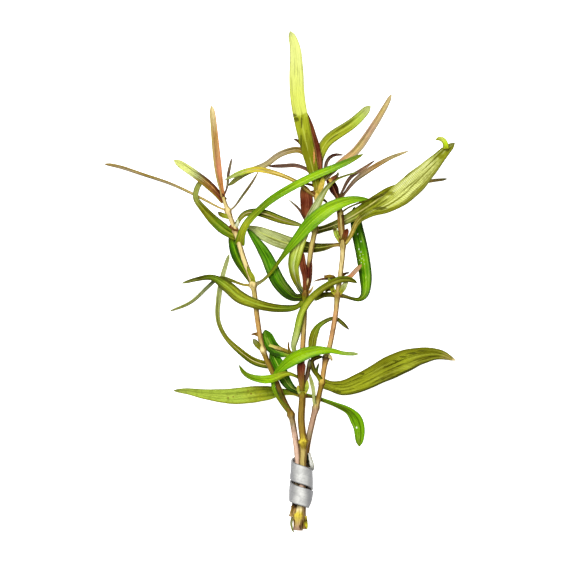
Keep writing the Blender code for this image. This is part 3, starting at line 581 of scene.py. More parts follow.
def left_stem_leaves():
    leaf("left_upright_leaf", "tan_leaf", 34.2,
         ((-23.4, 37, 15), (-24.6, 43, 16), (-25.6, 51, 17), (-26.6, 62, 18), (-27.4, 70.8, 18.4)),
         (1.8, 3.4, 4, 4, 3.7, 3.3, 2.4), "orange, orange, peach, warm tan, tan, pale tan, cream",
         roll=(40,), rib="rust", rib_share=0.3, right=("orange", 0.2), left=("khaki", 0.38), streaks=0.4,
         rim=0.3)
    leaf("left_slanting_leaf", "yellow_leaf", 32.4,
         ((-26.2, 36.8, 15), (-30.1, 40.4, 16.4), (-35.9, 44.7, 16.8), (-42.5, 49, 17)),
         (2.4, 3.4, 3.6, 3.4, 3.4, 3.2, 2.2),
         "red, rust, orange, tan, pale sage, tip lime, tip lime, tip lime", rib="maroon",
         right=("maroon", 0.35), rib_share=0.8, rib_end=0.62, tint_end=0.6, rim=0.3,
         left=("olive brown", 0.25))
    leaf("left_purple_leaf", "red_leaf", 34.2,
         ((-21.2, 38.2, 14), (-20.8, 43.6, 15.4), (-19.3, 49.8, 16.2)),
         (0.8, 2.2, 2.6, 1.6), "rust, plum, dusty, plum, dusty, plum", roll=(65,), rib="plum")
    leaf("left_far_leaf", "tan_leaf", 28.6,
         ((-24.4, 29.8, 12.6), (-33.4, 34.4, 9.2), (-44, 39.3, 6.4), (-56, 43.4, 4), (-64, 46.1, 1.6),
          (-70.6, 47.6, 0.2)),
         (1.8, 3.2, 3.8, 3.8, 3.4, 3.2, 2.2), "straw, khaki, khaki, dusty, olive brown, dusty, olive brown",
         roll=(75, 75, 70, 60), rib="dusty", right=("olive brown", 0.38))
    leaf("left_inner_thin_leaf", "tan_leaf", 28.6,
         ((-18.4, 30.2, 13.8), (-15.6, 34.2, 14), (-11.4, 40, 14.2), (-8.6, 44.4, 14.4)),
         (1.2, 2.6, 2.8, 2.3, 0.8), "cream, dusty, grey green, olive brown, dusty, pale tan", roll=(70,),
         rib="dusty")
    leaf("left_curl_leaf", "olive_leaf", 18.6,
         ((-21.4, 20.6, 13.4), (-26.2, 24.6, 12.8), (-30.3, 29, 12.6), (-33.7, 33.4, 13), (-33.5, 37, 13.2),
          (-31.8, 40.2, 13.2), (-29.6, 41.8, 13.2)),
         (3.6, 4.6, 4.2, 3.4, 2.7, 2.4, 2.4, 1.4), "olive, moss, moss, olive, olive, sage, sage, sage",
         roll=(0, 0, 10, 10), rib="light olive", right=("dark olive", 0.15), rib_share=0.5)
    leaf("left_arch_leaf", "olive_leaf", 21.4,
         ((-16.2, 25.4, 14.4), (-13.2, 27.9, 14.8), (-7.2, 27.8, 15.4), (1, 24.9, 15.6), (10, 22.5, 15.8)),
         (1.4, 2.4, 3.2, 3.6, 3.2, 2.4, 0.8), "olive, olive, dark olive, olive, olive, sage", rib="cream",
         left=("forest", 0.25), rib_width=0.2)
    leaf("left_bright_upper_leaf", "bright_leaf", 15,
         ((-15.2, 20, 16), (-12.3, 25, 17.6), (-5, 31.9, 19), (2.4, 36.8, 19.8), (12.2, 41.9, 20.6),
          (24.6, 47.1, 20.8), (33.4, 51.3, 20.2)),
         (3.4, 3, 2.8, 3.1, 3.2, 3.2, 3.1, 2.6, 1.2),
         "olive, light olive, moss, bright, vivid, vivid, bright, olive", rib="lime", rib_width=0.1,
         rib_share=0.4, gloss=0.25, shine=0.08, left=("grass", 0.2), right=("bright", 0.2), edge_share=0.5,
         streaks=0.5, mottle=0.12)
    leaf("left_dark_leaf", "dark_leaf", -1,
         ((-12.6, 1.8, 9), (-15.4, 6.8, 8.8), (-17.9, 12, 9.2), (-20, 20, 9.8)),
         (1.4, 2.8, 4, 4.4, 3.6, 1.4), "straw, olive, moss, deep green, grass, light olive", rib="vivid",
         left=("forest", 0.38), right=("forest", 0.38))
    leaf("left_trailing_thin_leaf", "olive_leaf", -1,
         ((-14.4, -1.1, 10.6), (-20, 0.9, 9.2), (-24.2, 1.8, 8.2), (-28.1, -1.2, 6.8), (-35.6, -8, 4),
          (-44.4, -11.6, 1.2)),
         (1.2, 2.2, 2.6, 2.6, 2.2, 1), "straw, olive, forest, grey green, sage, olive", roll=(55,),
         rib="grey green")
    leaf("left_bright_centre_leaf", "bright_leaf", -1,
         ((-7.6, 0.3, 13.2), (-3.8, 3.8, 15.4), (0.8, 10.1, 17.6), (6.6, 17.3, 19), (12.4, 23.9, 19.8),
          (19.2, 29.3, 20), (25.2, 32.1, 19.6), (30, 33.2, 19.2), (35.4, 33.5, 18.6)),
         (1.2, 1.4, 1.6, 2.6, 4.2, 5.6, 5.8, 4.8, 3.2, 1),
         "dusty, olive, moss, bright, bright, vivid, vivid, bright", rib="lime", rib_width=0.07,
         rib_share=0.4, gloss=0.25, shine=0.08, left=("grass", 0.2), right=("bright", 0.2), edge_share=0.5,
         streaks=0.5, mottle=0.12)
    leaf("left_stub_leaf", "olive_leaf", 26, ((-23, 26.9, 14.6), (-24.9, 28.2, 14.8)),
         (1.2, 2, 1.8, 0.8), "light olive, light olive, olive, dark brown")
    leaf("left_axil_leaf", "olive_leaf", -0.4, ((-10.8, 1.6, 13.4), (-12, 3.8, 14.2), (-13.2, 6.6, 15)),
         (1.4, 2, 1.6, 0.4), "light olive, light olive, olive")
    leaf("left_bud_leaf", "olive_leaf", -27, ((-8.9, -25.2, 10.4), (-10.8, -22.4, 11.2)),
         (1.4, 2.2, 2.2, 0.8), "olive, olive, grey green", rib="grey green")
    leaf("left_bright_low_leaf", "bright_leaf", -53,
         ((3, -50.8, 7.4), (-0.4, -46.8, 9.2), (-2.8, -41.2, 10.8), (-1.6, -36.8, 11.8), (4.6, -31.1, 13.2),
          (12.8, -27.6, 13.8), (20.2, -27.2, 13.6), (25.2, -28.3, 13.2), (31.7, -28.6, 12.8)),
         (1.4, 1.4, 1.8, 3, 5, 5.3, 4, 2.1, 1.7, 1.6),
         "brown, olive, bright, bright, vivid, vivid, vivid, pale sage", rib="lime", rib_width=0.1,
         gloss=0.25, shine=0.08, rib_share=0.3, left=("bright", 0.2), right=("grass", 0.25), edge_share=0.6,
         streaks=0.5, mottle=0.15)


def middle_top_leaves():
    leaf("middle_tall_leaf", "pale_leaf", 36.4,
         ((14.6, 38.6, 17.2), (13.2, 44.6, 17.8), (9.3, 61, 17.6), (6.9, 75, 16.8), (6.2, 92.6, 15.4),
          (4, 100.6, 14.6)),
         (2.2, 4.4, 5.5, 5.9, 6, 5.9, 4.8, 2.8), ((0, "straw"), (0.08, "olive"), (0.3, "olive"),
         (0.4, "light olive"), (0.47, "light olive"), (0.5, "pale lime"), (0.62, "pale lime"),
         (0.8, "tip lime"), (0.95, "tip lime"), (1, "pale sage")), wave=(0.25, 4), rib_share=0.3,
         streaks=0.4, mottle=0.1, veins=0.15, rim=0.35, marks=((5.4, 66.8, 1.6, 0.9, "dark olive"),
         (6.6, 65.2, 1.2, 1.2, "dark olive"), (8.6, 64, 0.5, 3, "dark olive"),
         (10.6, 58.6, 0.5, 3, "olive"), (11.6, 52, 0.6, 3.4, "olive"), (8.4, 56, 0.5, 4, "dark olive"),
         (10.6, 46, 0.5, 3.4, "olive"), (13.6, 50, 0.4, 4, "orange")))
    leaf("middle_red_back_leaf", "red_leaf", 40.6,
         ((15.4, 45, 14), (14.2, 53, 13.6), (12.6, 60, 13.2), (11, 67.8, 12.8)),
         (2.2, 4, 4, 3, 0.6), "rust, rust, red, rust, red", rib="tan", rib_share=0.6)
    leaf("middle_upper_right_leaf", "olive_leaf", 40,
         ((15.9, 43.8, 12.6), (16.1, 50.9, 11.6), (19.4, 57.1, 11.6), (29.1, 63.8, 11.8),
          (36.3, 70.8, 11.4)),
         (1.6, 2.6, 4.3, 4.8, 4.5, 4, 2.8),
         "tan, sage, light olive, light olive, light olive, pale green, pale sage", rib="pale lime",
         left=("sage", 0.2), mottle=0.2)
    leaf("middle_tan_leaf", "tan_leaf", 37.6,
         ((18.2, 41.8, 16.8), (23.2, 46.8, 17.2), (30.6, 52.9, 17.4), (37.6, 62.9, 16.8), (42.6, 71.3, 16),
          (44.6, 75.4, 15.6)),
         (1.2, 2.6, 3.4, 3.4, 2.9, 2.5, 1.6), "brown, olive, warm tan, khaki, dusty pink, khaki, pale tan",
         rib="cream", rib_share=0.3, right=("dusty", 0.35), left=("dusty pink", 0.2), rim=0.3)
    leaf("middle_small_dark_leaf", "dark_leaf", 40,
         ((17.6, 43.4, 15.2), (18.7, 48.4, 15.6), (21.5, 51, 15.6), (25.8, 50.9, 15.6)),
         (0.9, 1.4, 1.5, 0.8), "light olive, plum, plum, maroon, plum", rib="plum")
    leaf("middle_brown_arc_leaf", "olive_leaf", 39,
         ((12.6, 43.4, 12.6), (12, 49.2, 11.8), (7.6, 53.1, 11.8), (0.2, 51.4, 12), (-6, 47, 12),
          (-14, 43.7, 11.8), (-20.8, 38.6, 11.6)),
         (1.2, 2.2, 2.6, 2.5, 2.5, 2.4, 1.6), "light olive, tan, ochre, dusty, dusty, sage, sage",
         rib="pale tan", left=("olive brown", 0.2))
    leaf("middle_yellow_leaf", "yellow_leaf", 34.2,
         ((11.4, 36.4, 16.2), (6.4, 40.3, 16.8), (-1, 43.4, 17), (-9.2, 45.2, 17.2), (-16, 43.7, 17.4),
          (-22.2, 40.9, 17.6)),
         (1.1, 1.5, 1.7, 2, 2.4, 2.2, 0.8), "rust, ochre, straw, straw, knob yellow, pale green, pale sage",
         rib="cream", rib_share=0.6, rib_width=0.2)
    leaf("middle_thin_red_leaf", "red_leaf", 40.4,
         ((11.4, 44.8, 14.8), (6.4, 46.8, 14.4), (1, 46.6, 14.4), (-5, 46.5, 14.8)),
         (0.9, 1.6, 1.8, 1.6, 1), "plum, plum, plum, maroon", rib=None)
    leaf("middle_stub_leaf", "red_leaf", 38,
         ((13.6, 43, 11.6), (11.6, 50.4, 10.6), (8, 56.2, 10.2), (5.2, 57.4, 10.2)),
         (1, 1.4, 1.8, 1.8, 1.2), "straw, brown, brown, dark brown")


def middle_centre_leaves():
    leaf("middle_broad_red_leaf", "red_leaf", 21.6,
         ((11.2, 24, 14.4), (10.6, 29, 14.4), (10.6, 34, 14.2), (9, 39.4, 14)),
         (1.6, 3.4, 5.2, 5.2, 2), "olive, brown, rust, red, rust, brown", rib=None, streaks=0.5)
    leaf("middle_thin_purple_leaf", "red_leaf", 21.4,
         ((10.4, 24.8, 13), (7.6, 29.4, 12.8), (3.2, 33.4, 13)),
         (1, 1.2, 1, 0.4), "plum, plum, plum, grey green")
    leaf("middle_dark_olive_leaf", "olive_leaf", 20.6,
         ((17.2, 21.4, 11.2), (22.8, 23.4, 10.4), (30, 27.2, 10.2), (38.4, 32.7, 10), (48.8, 40.1, 7.6)),
         (2.4, 3.4, 4.4, 5, 4.4, 0.8),
         "dark olive, dark olive, sage, light olive, light olive, olive, light olive", rib="cream",
         left=("olive", 0.2))
    leaf("middle_pale_sweep_leaf", "pale_leaf", -4.6,
         ((7.5, -1.6, 12.8), (5.5, 5, 14.2), (6.2, 11, 15.6), (10.4, 22, 17.1), (14.8, 31, 17.5),
          (16.8, 34.8, 17.7), (19.2, 38.4, 18), (22.4, 41.2, 18.3), (26, 42.6, 18), (31, 44.2, 17.8)),
         (1.6, 3.8, 5.2, 4.4, 4, 3.4, 2, 0.9, 0.6),
         "forest, olive, pale green, pale lime, pale sage, pale sage, sage, olive, sage", rib="white",
         rib_share=0.15, right=("light olive", 0.2), mottle=0.15, pale="white")
    leaf("middle_dark_green_leaf", "dark_leaf", -5.2,
         ((7.1, -6.2, 11.4), (4, -4.9, 11.8), (-0.9, 0.7, 12.2), (-5.5, 10.6, 12), (-10.8, 18.6, 12.2),
          (-13.4, 21.6, 12.4)),
         (2.4, 5.2, 5.8, 5.5, 4.7, 3.2, 1.4),
         "dark olive, forest, deep green, grass, grass, grass, deep green", rib="bright",
         left=("forest", 0.25), right=("forest", 0.25), edge_share=0.6, shine=0.05, gloss=0.35)
    leaf("middle_long_left_leaf", "olive_leaf", -6.8,
         ((6.4, -9.9, 12.2), (-1, -10.3, 13.4), (-9, -8.7, 14.2), (-16, -5.9, 14), (-21, -1.6, 13),
          (-27, 2, 11.4), (-33, 1.4, 9.4), (-39.6, -0.4, 7.2)),
         (1.6, 3, 3.6, 4.2, 5.2, 4.8, 2.5, 1.8, 1),
         "light olive, moss, olive, light olive, light olive, moss, dark olive, sage", rib="pale green",
         left=("dark olive", 0.3), rib_share=0.6, right=("dark olive", 0.25), edge_share=0.75, mottle=0.35,
         veins=0.6, rib_width=0.2, rib_end=0.75)
    leaf("middle_sheath_leaf_left", "red_leaf", -4.8,
         ((9.8, -0.6, 13), (9.8, 3, 13.4), (8.9, 8.4, 14), (8.6, 13.4, 14.2)),
         (1, 1.8, 3, 2.8, 1.6), "brown, rust, red, rust, rust", rib="rust", pale="dusty pink")
    leaf("middle_sheath_leaf_right", "red_leaf", -4.4,
         ((11.9, -0.4, 13), (12.4, 4.6, 13.8), (12.5, 9.6, 14.4)),
         (0.8, 1.2, 1.2, 0.6), "brown, maroon, maroon", rib=None)
    leaf("middle_arc_leaf", "pale_leaf", -29.6,
         ((5.4, -26.8, 10.2), (6.8, -20, 11.6), (9.2, -11, 13), (14.4, -4.4, 13.8), (22, 0.5, 14.4),
          (27.6, 1.3, 13.8), (31, -0.3, 13.2)),
         (1.3, 3, 3.2, 2.9, 2.8, 2.8, 1.6),
         "pale green, pale sage, pale green, light olive, olive, olive, dark olive", rib="pale lime",
         right=("dark olive", 0.25), rib_share=0.3, left=("moss", 0.25), edge_share=0.7)


def middle_low_leaves():
    leaf("middle_c_leaf", "pale_leaf", -30.2,
         ((4.4, -31.8, 5.8), (-2, -33.3, 3.6), (-9.9, -31.8, 3.6), (-16.2, -27.4, 4), (-21.8, -21.8, 4.4),
          (-24.9, -14.8, 4.6), (-24.6, -6.2, 5.4), (-23, 2.6, 6), (-20.3, 11.6, 6.4)),
         (1.2, 2.6, 3.2, 2.6, 1.8, 1.9, 2.2, 2, 1.5),
         "olive, olive, olive, olive, sage, pale sage, pale sage", rib="cream", left=("forest", 0.3),
         rib_share=0.6, rib_end=0.45, tint_end=0.45)
    leaf("middle_arc_right_leaf", "olive_leaf", -29.4,
         ((12.5, -26.9, 8), (13.2, -22.2, 7.8), (15.6, -17.2, 7.8), (21.6, -14.2, 7.4), (25.2, -16.5, 7),
          (27.8, -19, 6.8)),
         (1.2, 3.4, 3.4, 2, 1.7, 1.7, 1.2),
         "light olive, olive, olive, moss, dark olive, dark olive, dark brown", rib_share=0.3)
    # The forest mark on this leaf is painted shade beneath the folded strip above it.
    leaf("middle_curled_leaf", "dark_leaf", -28.6,
         ((4, -28.6, 8.2), (0.6, -28, 7.4), (-2.4, -26.6, 7), (-4.6, -23.4, 6.8), (-6, -18.8, 7)),
         (1.4, 2.6, 4.6, 5.4, 5.4, 3.6), "light olive, light olive, grass, deep green, grass, deep green",
         rib="pale lime", rib_width=0.16, rib_share=0.4, marks=((-1.8, -28.8, 2.8, 0.9, "forest"),
         (-4.6, -20.6, 1.6, 2.2, "deep green")))
    leaf("middle_lower_back_leaf", "dark_leaf", -44.2,
         ((5.2, -42.6, 6.2), (2.6, -40, 5.4), (0.3, -35.4, 5.3), (-2.4, -30, 5.2), (-4, -27.6, 5)),
         (1.6, 4, 5, 5.2, 3), "dark olive, forest, deep green, grass, grass, grass, deep green",
         rib="pale lime", rib_width=0.1, left=("forest", 0.2))
    leaf("middle_low_red_leaf", "red_leaf", -44.4, ((8.8, -41.6, 10.3), (8.4, -37, 11), (8.6, -31.2, 11.5)),
         (1.4, 2.6, 3.4, 4), "olive, olive brown, brown, red, maroon", rib="rust", rib_share=0.3)
    leaf("middle_sickle_leaf", "bright_leaf", -38.8,
         ((5.8, -37.2, 10), (2.6, -36.4, 12.4), (-1.6, -37.9, 13.4), (-5.6, -38.8, 13.2), (-11, -38, 11.4),
          (-14.6, -36, 10), (-16.5, -32.8, 9)),
         (0.8, 1.6, 3, 3.6, 2.8, 2, 1), "dark brown, light olive, light olive, vivid, bright, moss, moss",
         rib="lime")
    leaf("middle_wide_low_leaf", "pale_leaf", -45.4,
         ((5, -44.2, 5.2), (0, -43.9, 3.4), (-5, -44.3, 2), (-12, -45, 0.8), (-20, -45.6, 0.3),
          (-30, -44.8, 0.3), (-37, -43.6, 0.6), (-43, -43.3, 1.4)),
         (1.4, 2.8, 5.9, 6.9, 6.7, 5.5, 4.1, 2.7, 1.1),
         "olive brown, moss, light olive, pale green, pale green, pale green, sage", wave=(0.2, 4),
         rib="pale lime", rib_width=0.09, left=("light olive", 0.15), mottle=0.4,
         marks=((-20.8, -46.2, 0.5, 0.4, "brown"), (-18.8, -45.8, 0.4, 0.4, "brown"),
         (-11.6, -44.6, 0.5, 0.4, "brown"), (-12.8, -43.4, 0.4, 0.3, "brown"),
         (-13.2, -41.4, 0.5, 0.4, "dark brown")), rib_share=0.2, pale="pale lime", streaks=0.5)
    # The white mark on this leaf is a painted highlight.
    leaf("middle_drooping_leaf", "bright_leaf", -45.2,
         ((12.8, -45.6, 5.6), (16, -46.7, 4.2), (22.4, -49, 3.4), (28.2, -51.9, 2.6), (31.6, -57.6, 1.2),
          (31.8, -65.9, 0.3)),
         (1.3, 1.6, 1.9, 2.8, 5.2, 4.4, 2.6), "brown, dark olive, moss, moss, bright, bright, moss",
         rib=None, left=("bright", 0.38), gloss=0.25, shine=0.08, marks=((30.7, -58.2, 0.4, 0.6, "white"),))


def right_top_leaves():
    leaf("right_red_tip_leaf", "red_leaf", 33.4, ((22, 36.4, 14.2), (20.5, 39.6, 15), (18.4, 42.2, 15.2)),
         (1.6, 3.8, 3.4, 1.2), "brown, maroon, maroon, maroon, red", rib="peach", rib_share=0.3)
    leaf("right_dark_thin_leaf", "red_leaf", 33.4,
         ((25.1, 37, 14.6), (27.9, 42, 15.2), (32.6, 45.2, 15.4), (38.1, 48.9, 15.6)),
         (1, 2.2, 2.2, 1), "brown, plum, plum, dusty pink, plum", roll=(50,), rib="dusty pink",
         rib_share=0.5)
    leaf("right_brown_long_leaf", "tan_leaf", 32.6,
         ((26.6, 36.8, 16), (30.2, 41.2, 16.8), (36, 45.4, 17.2), (44, 49.9, 17), (51.6, 52.6, 16.6)),
         (0.9, 2, 2.8, 2.6, 2, 0.9), "brown, plum, dusty, tan, pale tan, pale tan", roll=(40,), rib="pink",
         rib_share=0.4)
    leaf("right_edge_on_leaf", "tan_leaf", 27.8,
         ((28, 30.4, 13.4), (36.8, 33.8, 12.8), (48, 37.8, 10.8), (58.8, 40.6, 5.6), (67.2, 41.6, 0)),
         (1.2, 2.1, 2.8, 2.6, 1.7), "sage, olive, olive, light olive, olive brown, dark olive",
         roll=(70, 70, 60, 58))
    leaf("right_big_pale_leaf", "pale_leaf", 15.2,
         ((27.8, 17.8, 14), (31.2, 24.6, 15.8), (36.2, 28.2, 16.2), (44.2, 32.2, 15.8), (52, 38.3, 14.6),
          (60.1, 46.2, 12.8), (66.2, 52.6, 11.4), (70, 55.9, 10.8)),
         (1.6, 2, 3.8, 7, 9.2, 9.2, 7, 4.7, 2.3),
         "straw, straw, olive, light olive, pale lime, tip lime, tip lime, tip lime, light olive, olive",
         wave=(0.35, 5), rib="tip lime", rib_width=0.06, right=("olive", 0.25), veins=0.9, streaks=1,
         mottle=0.2, rib_share=0.5, pale="white", marks=((43.2, 35.6, 3, 1.2, "olive"),
         (40, 29.6, 3.4, 0.9, "dark olive"), (64.4, 50.4, 1.6, 1.2, "olive"),
         (66.8, 53.2, 1.4, 1, "dark olive")))
    leaf("right_grey_leaf", "olive_leaf", 15.2,
         ((21.6, 15, 11.2), (17, 14.1, 9.6), (12, 14, 8.4), (4, 15.4, 8), (-5.2, 18.8, 8.2),
          (-13.4, 22.6, 8.8)),
         (1, 3.2, 4.6, 5.8, 6, 5, 1.6),
         "tan, dark olive, dark olive, sage, pale sage, pale sage, pale sage", rib="pale lime", mottle=0.5)
    # The white marks on this leaf, and the tip lime one low on it, are painted highlights.
    leaf("right_hanging_leaf", "dark_leaf", -5,
         ((25.4, -5.4, 10.4), (28.4, -6.3, 9.6), (31.8, -6.9, 8.8), (34.1, -4.2, 8), (34.3, 2, 7.6),
          (33.4, 9, 7.3), (32.3, 15, 7.1), (30.8, 22, 7), (29.7, 30.4, 6.8)),
         (1.2, 1.5, 3.8, 5.2, 5.4, 5.4, 5.3, 4.6, 2.8),
         "brown, dark olive, moss, bright, grass, bright, grass, deep green, forest, deep green",
         rib="lime", rib_width=0.08, left=("forest", 0.25), right=("forest", 0.2), gloss=0.18, shine=0.05,
         marks=((31.6, 13.4, 0.2, 0.4, "white"), (32.4, 12.2, 0.12, 0.4, "white"),
         (33.2, 11.2, 0.2, 0.15, "white"), (32, 10.8, 0.12, 0.3, "white"), (32.8, 9.6, 0.15, 0.3, "white"),
         (33.6, 9, 0.25, 0.15, "white"), (31.8, 9, 0.2, 0.15, "white"), (32.6, 8, 0.3, 0.12, "white"),
         (33.8, 7.4, 0.15, 0.2, "white"), (31.2, 19.4, 0.12, 0.4, "white"),
         (32.4, 16.4, 0.12, 0.4, "white"), (34.4, 2, 0.12, 0.5, "tip lime")), rib_share=0.35, rib_end=0.6)
    leaf("right_axil_pale_leaf", "pale_leaf", 15.6, ((22.8, 18.6, 14.2), (21.7, 22.6, 15)),
         (1.4, 2, 2, 1.2), "straw, pale green, sage", mottle=0.8,
         marks=((21.8, 21.4, 0.9, 0.8, "dark brown"),))
    leaf("right_axil_red_leaf", "red_leaf", 16.2, ((26, 18.8, 15.2), (27, 21.6, 16.4)),
         (1.4, 2.2, 2.2, 1.4), "brown, brown, rust, red", rib=None)
    leaf("right_pink_leaf", "tan_leaf", 1.8, ((27.8, 2.2, 12.4), (30, 4.5, 12.8), (32.8, 7.3, 13)),
         (1, 1.9, 2, 1.4), "olive brown, orange, dusty pink, tan", rib=None)
    leaf("right_purple_thin_leaf", "red_leaf", 1.4, ((20.6, 1.6, 10.2), (17, 1.4, 9.8), (13.2, 0.4, 10)),
         (0.9, 1.2, 1, 0.4), "olive, plum, plum, dusty")


def right_low_leaves():
    leaf("right_big_low_leaf", "olive_leaf", -40.2,
         ((20.2, -41.4, 6.8), (26, -42.1, 5), (34, -39.2, 2.8), (42, -35.1, 1.2), (50, -31.5, 0.4),
          (57, -29.3, 0.3), (64, -28.8, 0.5), (70.6, -31.3, 1.4)),
         (3.4, 6.4, 7.8, 8.4, 9.6, 9.2, 6.8, 4.2, 1),
         "olive, light olive, light olive, light olive, olive, light olive, olive, olive, khaki",
         wave=(0.3, 4), rib="light olive", left=("olive", 0.25), right=("dark olive", 0.15), veins=0.7,
         streaks=1, mottle=0.2, marks=((33, -36.6, 1.2, 0.5, "dark olive"),
         (46.5, -31.4, 1.6, 0.35, "dark olive"), (49.5, -29.8, 2, 0.4, "dark olive"),
         (53, -28.4, 2.2, 0.4, "dark olive"), (57, -27.4, 2, 0.35, "dark olive"),
         (42.6, -33.8, 1.4, 0.3, "dark olive"), (22.6, -43.8, 3, 0.7, "dark olive"),
         (70, -31.2, 1.3, 1, "pale tan")))
    leaf("right_pale_low_leaf", "pale_leaf", -50.2,
         ((13.6, -47.2, 8.4), (13.4, -43, 9), (12.4, -39, 9.4), (11.6, -35.6, 9.6)),
         (1, 1.6, 1.6, 0.5), "khaki, pale sage, pale sage, sage, pale sage", rib="olive")
    leaf("right_dark_curl_leaf", "dark_leaf", -39.8,
         ((15.4, -37.6, 9.2), (13.4, -34.8, 10), (12.6, -31.2, 10.6), (15.2, -29.8, 11),
          (17.6, -29.8, 11.2)),
         (1.6, 1.9, 2.2, 2, 1.2), "light olive, olive, dark olive, dark brown, dark brown, forest",
         rib="olive")


def stem(which, runs):
    """One jointed stem, drawn out ring by ring from a circle and then laid along its axis."""
    axis = smooth_curve(STEMS[which][0])
    lengths = lengths_along(axis)
    heights = [p.y for p in axis]
    stations = [0.0]
    while stations[-1] < lengths[-1]:
        y = between(stations[-1], lengths, heights)
        near = min(abs(y - joint) for joint, amount in STEMS[which][1])
        step = JOINT_RING if near < JOINT_HALF_LENGTH + 0.3 else STEM_RING
        stations.append(min(lengths[-1], stations[-1] + step))
    radii = [stem_radius(which, between(station, lengths, heights)) * METRES for station in stations]
    start_afresh()
    upright = (0, math.radians(90), 0)
    bpy.ops.mesh.primitive_circle_add(vertices=STEM_SIDES, radius=1, fill_type="NGON", rotation=upright)
    piece = settle(f"{which}_stem_skin")
    bpy.ops.object.mode_set(mode="EDIT")
    bpy.ops.mesh.select_all(action="SELECT")
    bpy.ops.transform.resize(value=(1, radii[0], radii[0]), center_override=(0, 0, 0))
    for before, after, old, new in zip(stations, stations[1:], radii, radii[1:]):
        move = (after - before) / lengths[-1]
        bpy.ops.mesh.extrude_region_move(TRANSFORM_OT_translate={"value": (move, 0, 0)})
        bpy.ops.transform.resize(value=(1, new / old, new / old), center_override=(after / lengths[-1], 0, 0))
    bpy.ops.mesh.select_all(action="SELECT")
    bpy.ops.mesh.normals_make_consistent(inside=False)
    bpy.ops.object.mode_set(mode="OBJECT")
    lay_along(piece, axis, [0.0] * len(axis))
    smooth(piece)
    dress(piece, stem_skin(f"{which}_stem_colours", axis[0].y, axis[-1].y, runs), "stem", f"{which}_stem")


def stems():
    # Painted shadow: the dark brown and black runs from Y -89.6 to -84 darken the stem by the lower edge of
    # the lead strip and between its turns.
    stem("left", (
        (-94, "pale tan"), (-91.4, "tan"), (-89.6, "dark brown"), (-84, "black"), (-80, "dusty"),
        (-74, "pink"), (-60, "pink"), (-57, "dusty"), (-53, "ochre"), (-49, "brown"), (-45, "dark olive"),
        (-41, "brown"), (-34, "ochre"), (-29, "ochre"), (-27, "cream"), (-25, "khaki"), (-20, "tan"),
        (-15, "tan"), (-8, "khaki"), (-3, "khaki"), (-1, "pale straw"), (4, "pale straw"),
        (19, "pale straw"), (21, "warm tan"), (23, "pale straw"), (30, "pale straw"), (34, "khaki"),
    ))
    # Painted shadow: the black runs from Y -88.5 to -84 and at -78 darken the stem by the lower edge of the
    # lead strip and between its turns.
    stem("middle", (
        (-98.5, "dusty pink"), (-93, "knob yellow"), (-91, "cream"), (-88.5, "black"), (-84, "black"),
        (-81, "pink"), (-78, "black"), (-74, "khaki"), (-67, "khaki"), (-65.2, "olive brown"),
        (-63.5, "knob yellow"), (-60.5, "ochre"), (-46, "ochre"), (-43, "olive"), (-38, "brown"),
        (-33, "red"), (-29, "tan"), (-24, "tan"), (-18, "khaki"), (-12, "khaki"), (-7, "olive"),
        (-4, "brown"), (-1.5, "ochre"), (0.8, "pale tan"), (2, "red"), (6.5, "red"), (9, "khaki"),
        (20, "khaki"), (22, "olive"), (30, "khaki"), (38, "straw"),
    ))
    # Painted shadow: the black run from Y -90 to -76, and the dark brown at -70.5, darken the stem under the
    # lead strip and beside its free end.
    stem("right", (
        (-98.8, "tan"), (-96, "olive brown"), (-92.5, "khaki"), (-90, "black"), (-76, "black"),
        (-70.5, "dark brown"), (-68, "brown"), (-65, "brown"), (-61, "dusty"), (-57, "dusty pink"),
        (-51, "dusty pink"), (-49, "khaki"), (-46, "ochre"), (-41, "ochre"), (-39, "straw"), (-37, "tan"),
        (-33, "tan"), (-30, "dark brown"), (-28, "khaki"), (-22, "warm tan"), (-12, "warm tan"),
        (-8, "khaki"), (-5, "ochre"), (-2, "khaki"), (1, "pale straw"), (12, "pale straw"), (14, "khaki"),
        (17, "khaki"), (26, "khaki"), (30, "ochre"), (33.4, "straw"),
    ))


def lead_strip():
    """A flat grid wound like the real strip, with soft dents, then given its thickness."""
    piece = new_grid("wound_strip", STRIP_COLUMNS, STRIP_ROWS, 0.5)
    for vertex in piece.data.vertices:
        u, v, flat = vertex.co
        turn = 1.0 + v + u * (STRIP_STEPS + STRIP_ASLANT * v)
        y = STRIP_TOP - STRIP_WIDTH / 2 - STRIP_PITCH * turn / STEPS_PER_TURN + (v - 0.5) * STRIP_WIDTH
        down = (STRIP_TOP - y) / (STRIP_TOP - STRIP_FOOT)
        outer = STRIP_RADIUS + STRIP_WIDENING * down
        dent = STRIP_DENT * noise.noise(Vector((turn * 0.5, v * 1.6, 3.0)))
        radius = outer - STRIP_THICKNESS / 2 - STRIP_SUNK + dent
        # The hidden end stands off the winding, and the margins of the last turn spread a little.
        radius += 1.0 * (1 - v) * max(0.0, 1 - u / 0.07) ** 2
        radius += 0.3 * max(0.0, (u - 0.8) / 0.2) * v
        angle = -math.radians(360 / STEPS_PER_TURN) * (0.5 + turn)
        x = STRIP_X - STRIP_LEAN * down + radius * math.cos(angle)
        z = outer + radius * math.sin(angle)
        vertex.co = Vector((x, y, max(z, STRIP_THICKNESS / 2))) * METRES
    bpy.ops.object.mode_set(mode="EDIT")
    bpy.ops.mesh.select_all(action="SELECT")
    bpy.ops.mesh.flip_normals()
    bpy.ops.object.mode_set(mode="OBJECT")
    finish_modifier(piece, "SOLIDIFY", thickness=STRIP_THICKNESS * METRES, offset=0.0)
    finish_modifier(piece, "BEVEL", width=STRIP_BEVEL * METRES, segments=2, limit_method="ANGLE",
                    angle_limit=math.radians(50))
    keep_above_surface(piece)
    smooth(piece, 40)
    dress(piece, strip_skin(), "lead", "lead_strip")


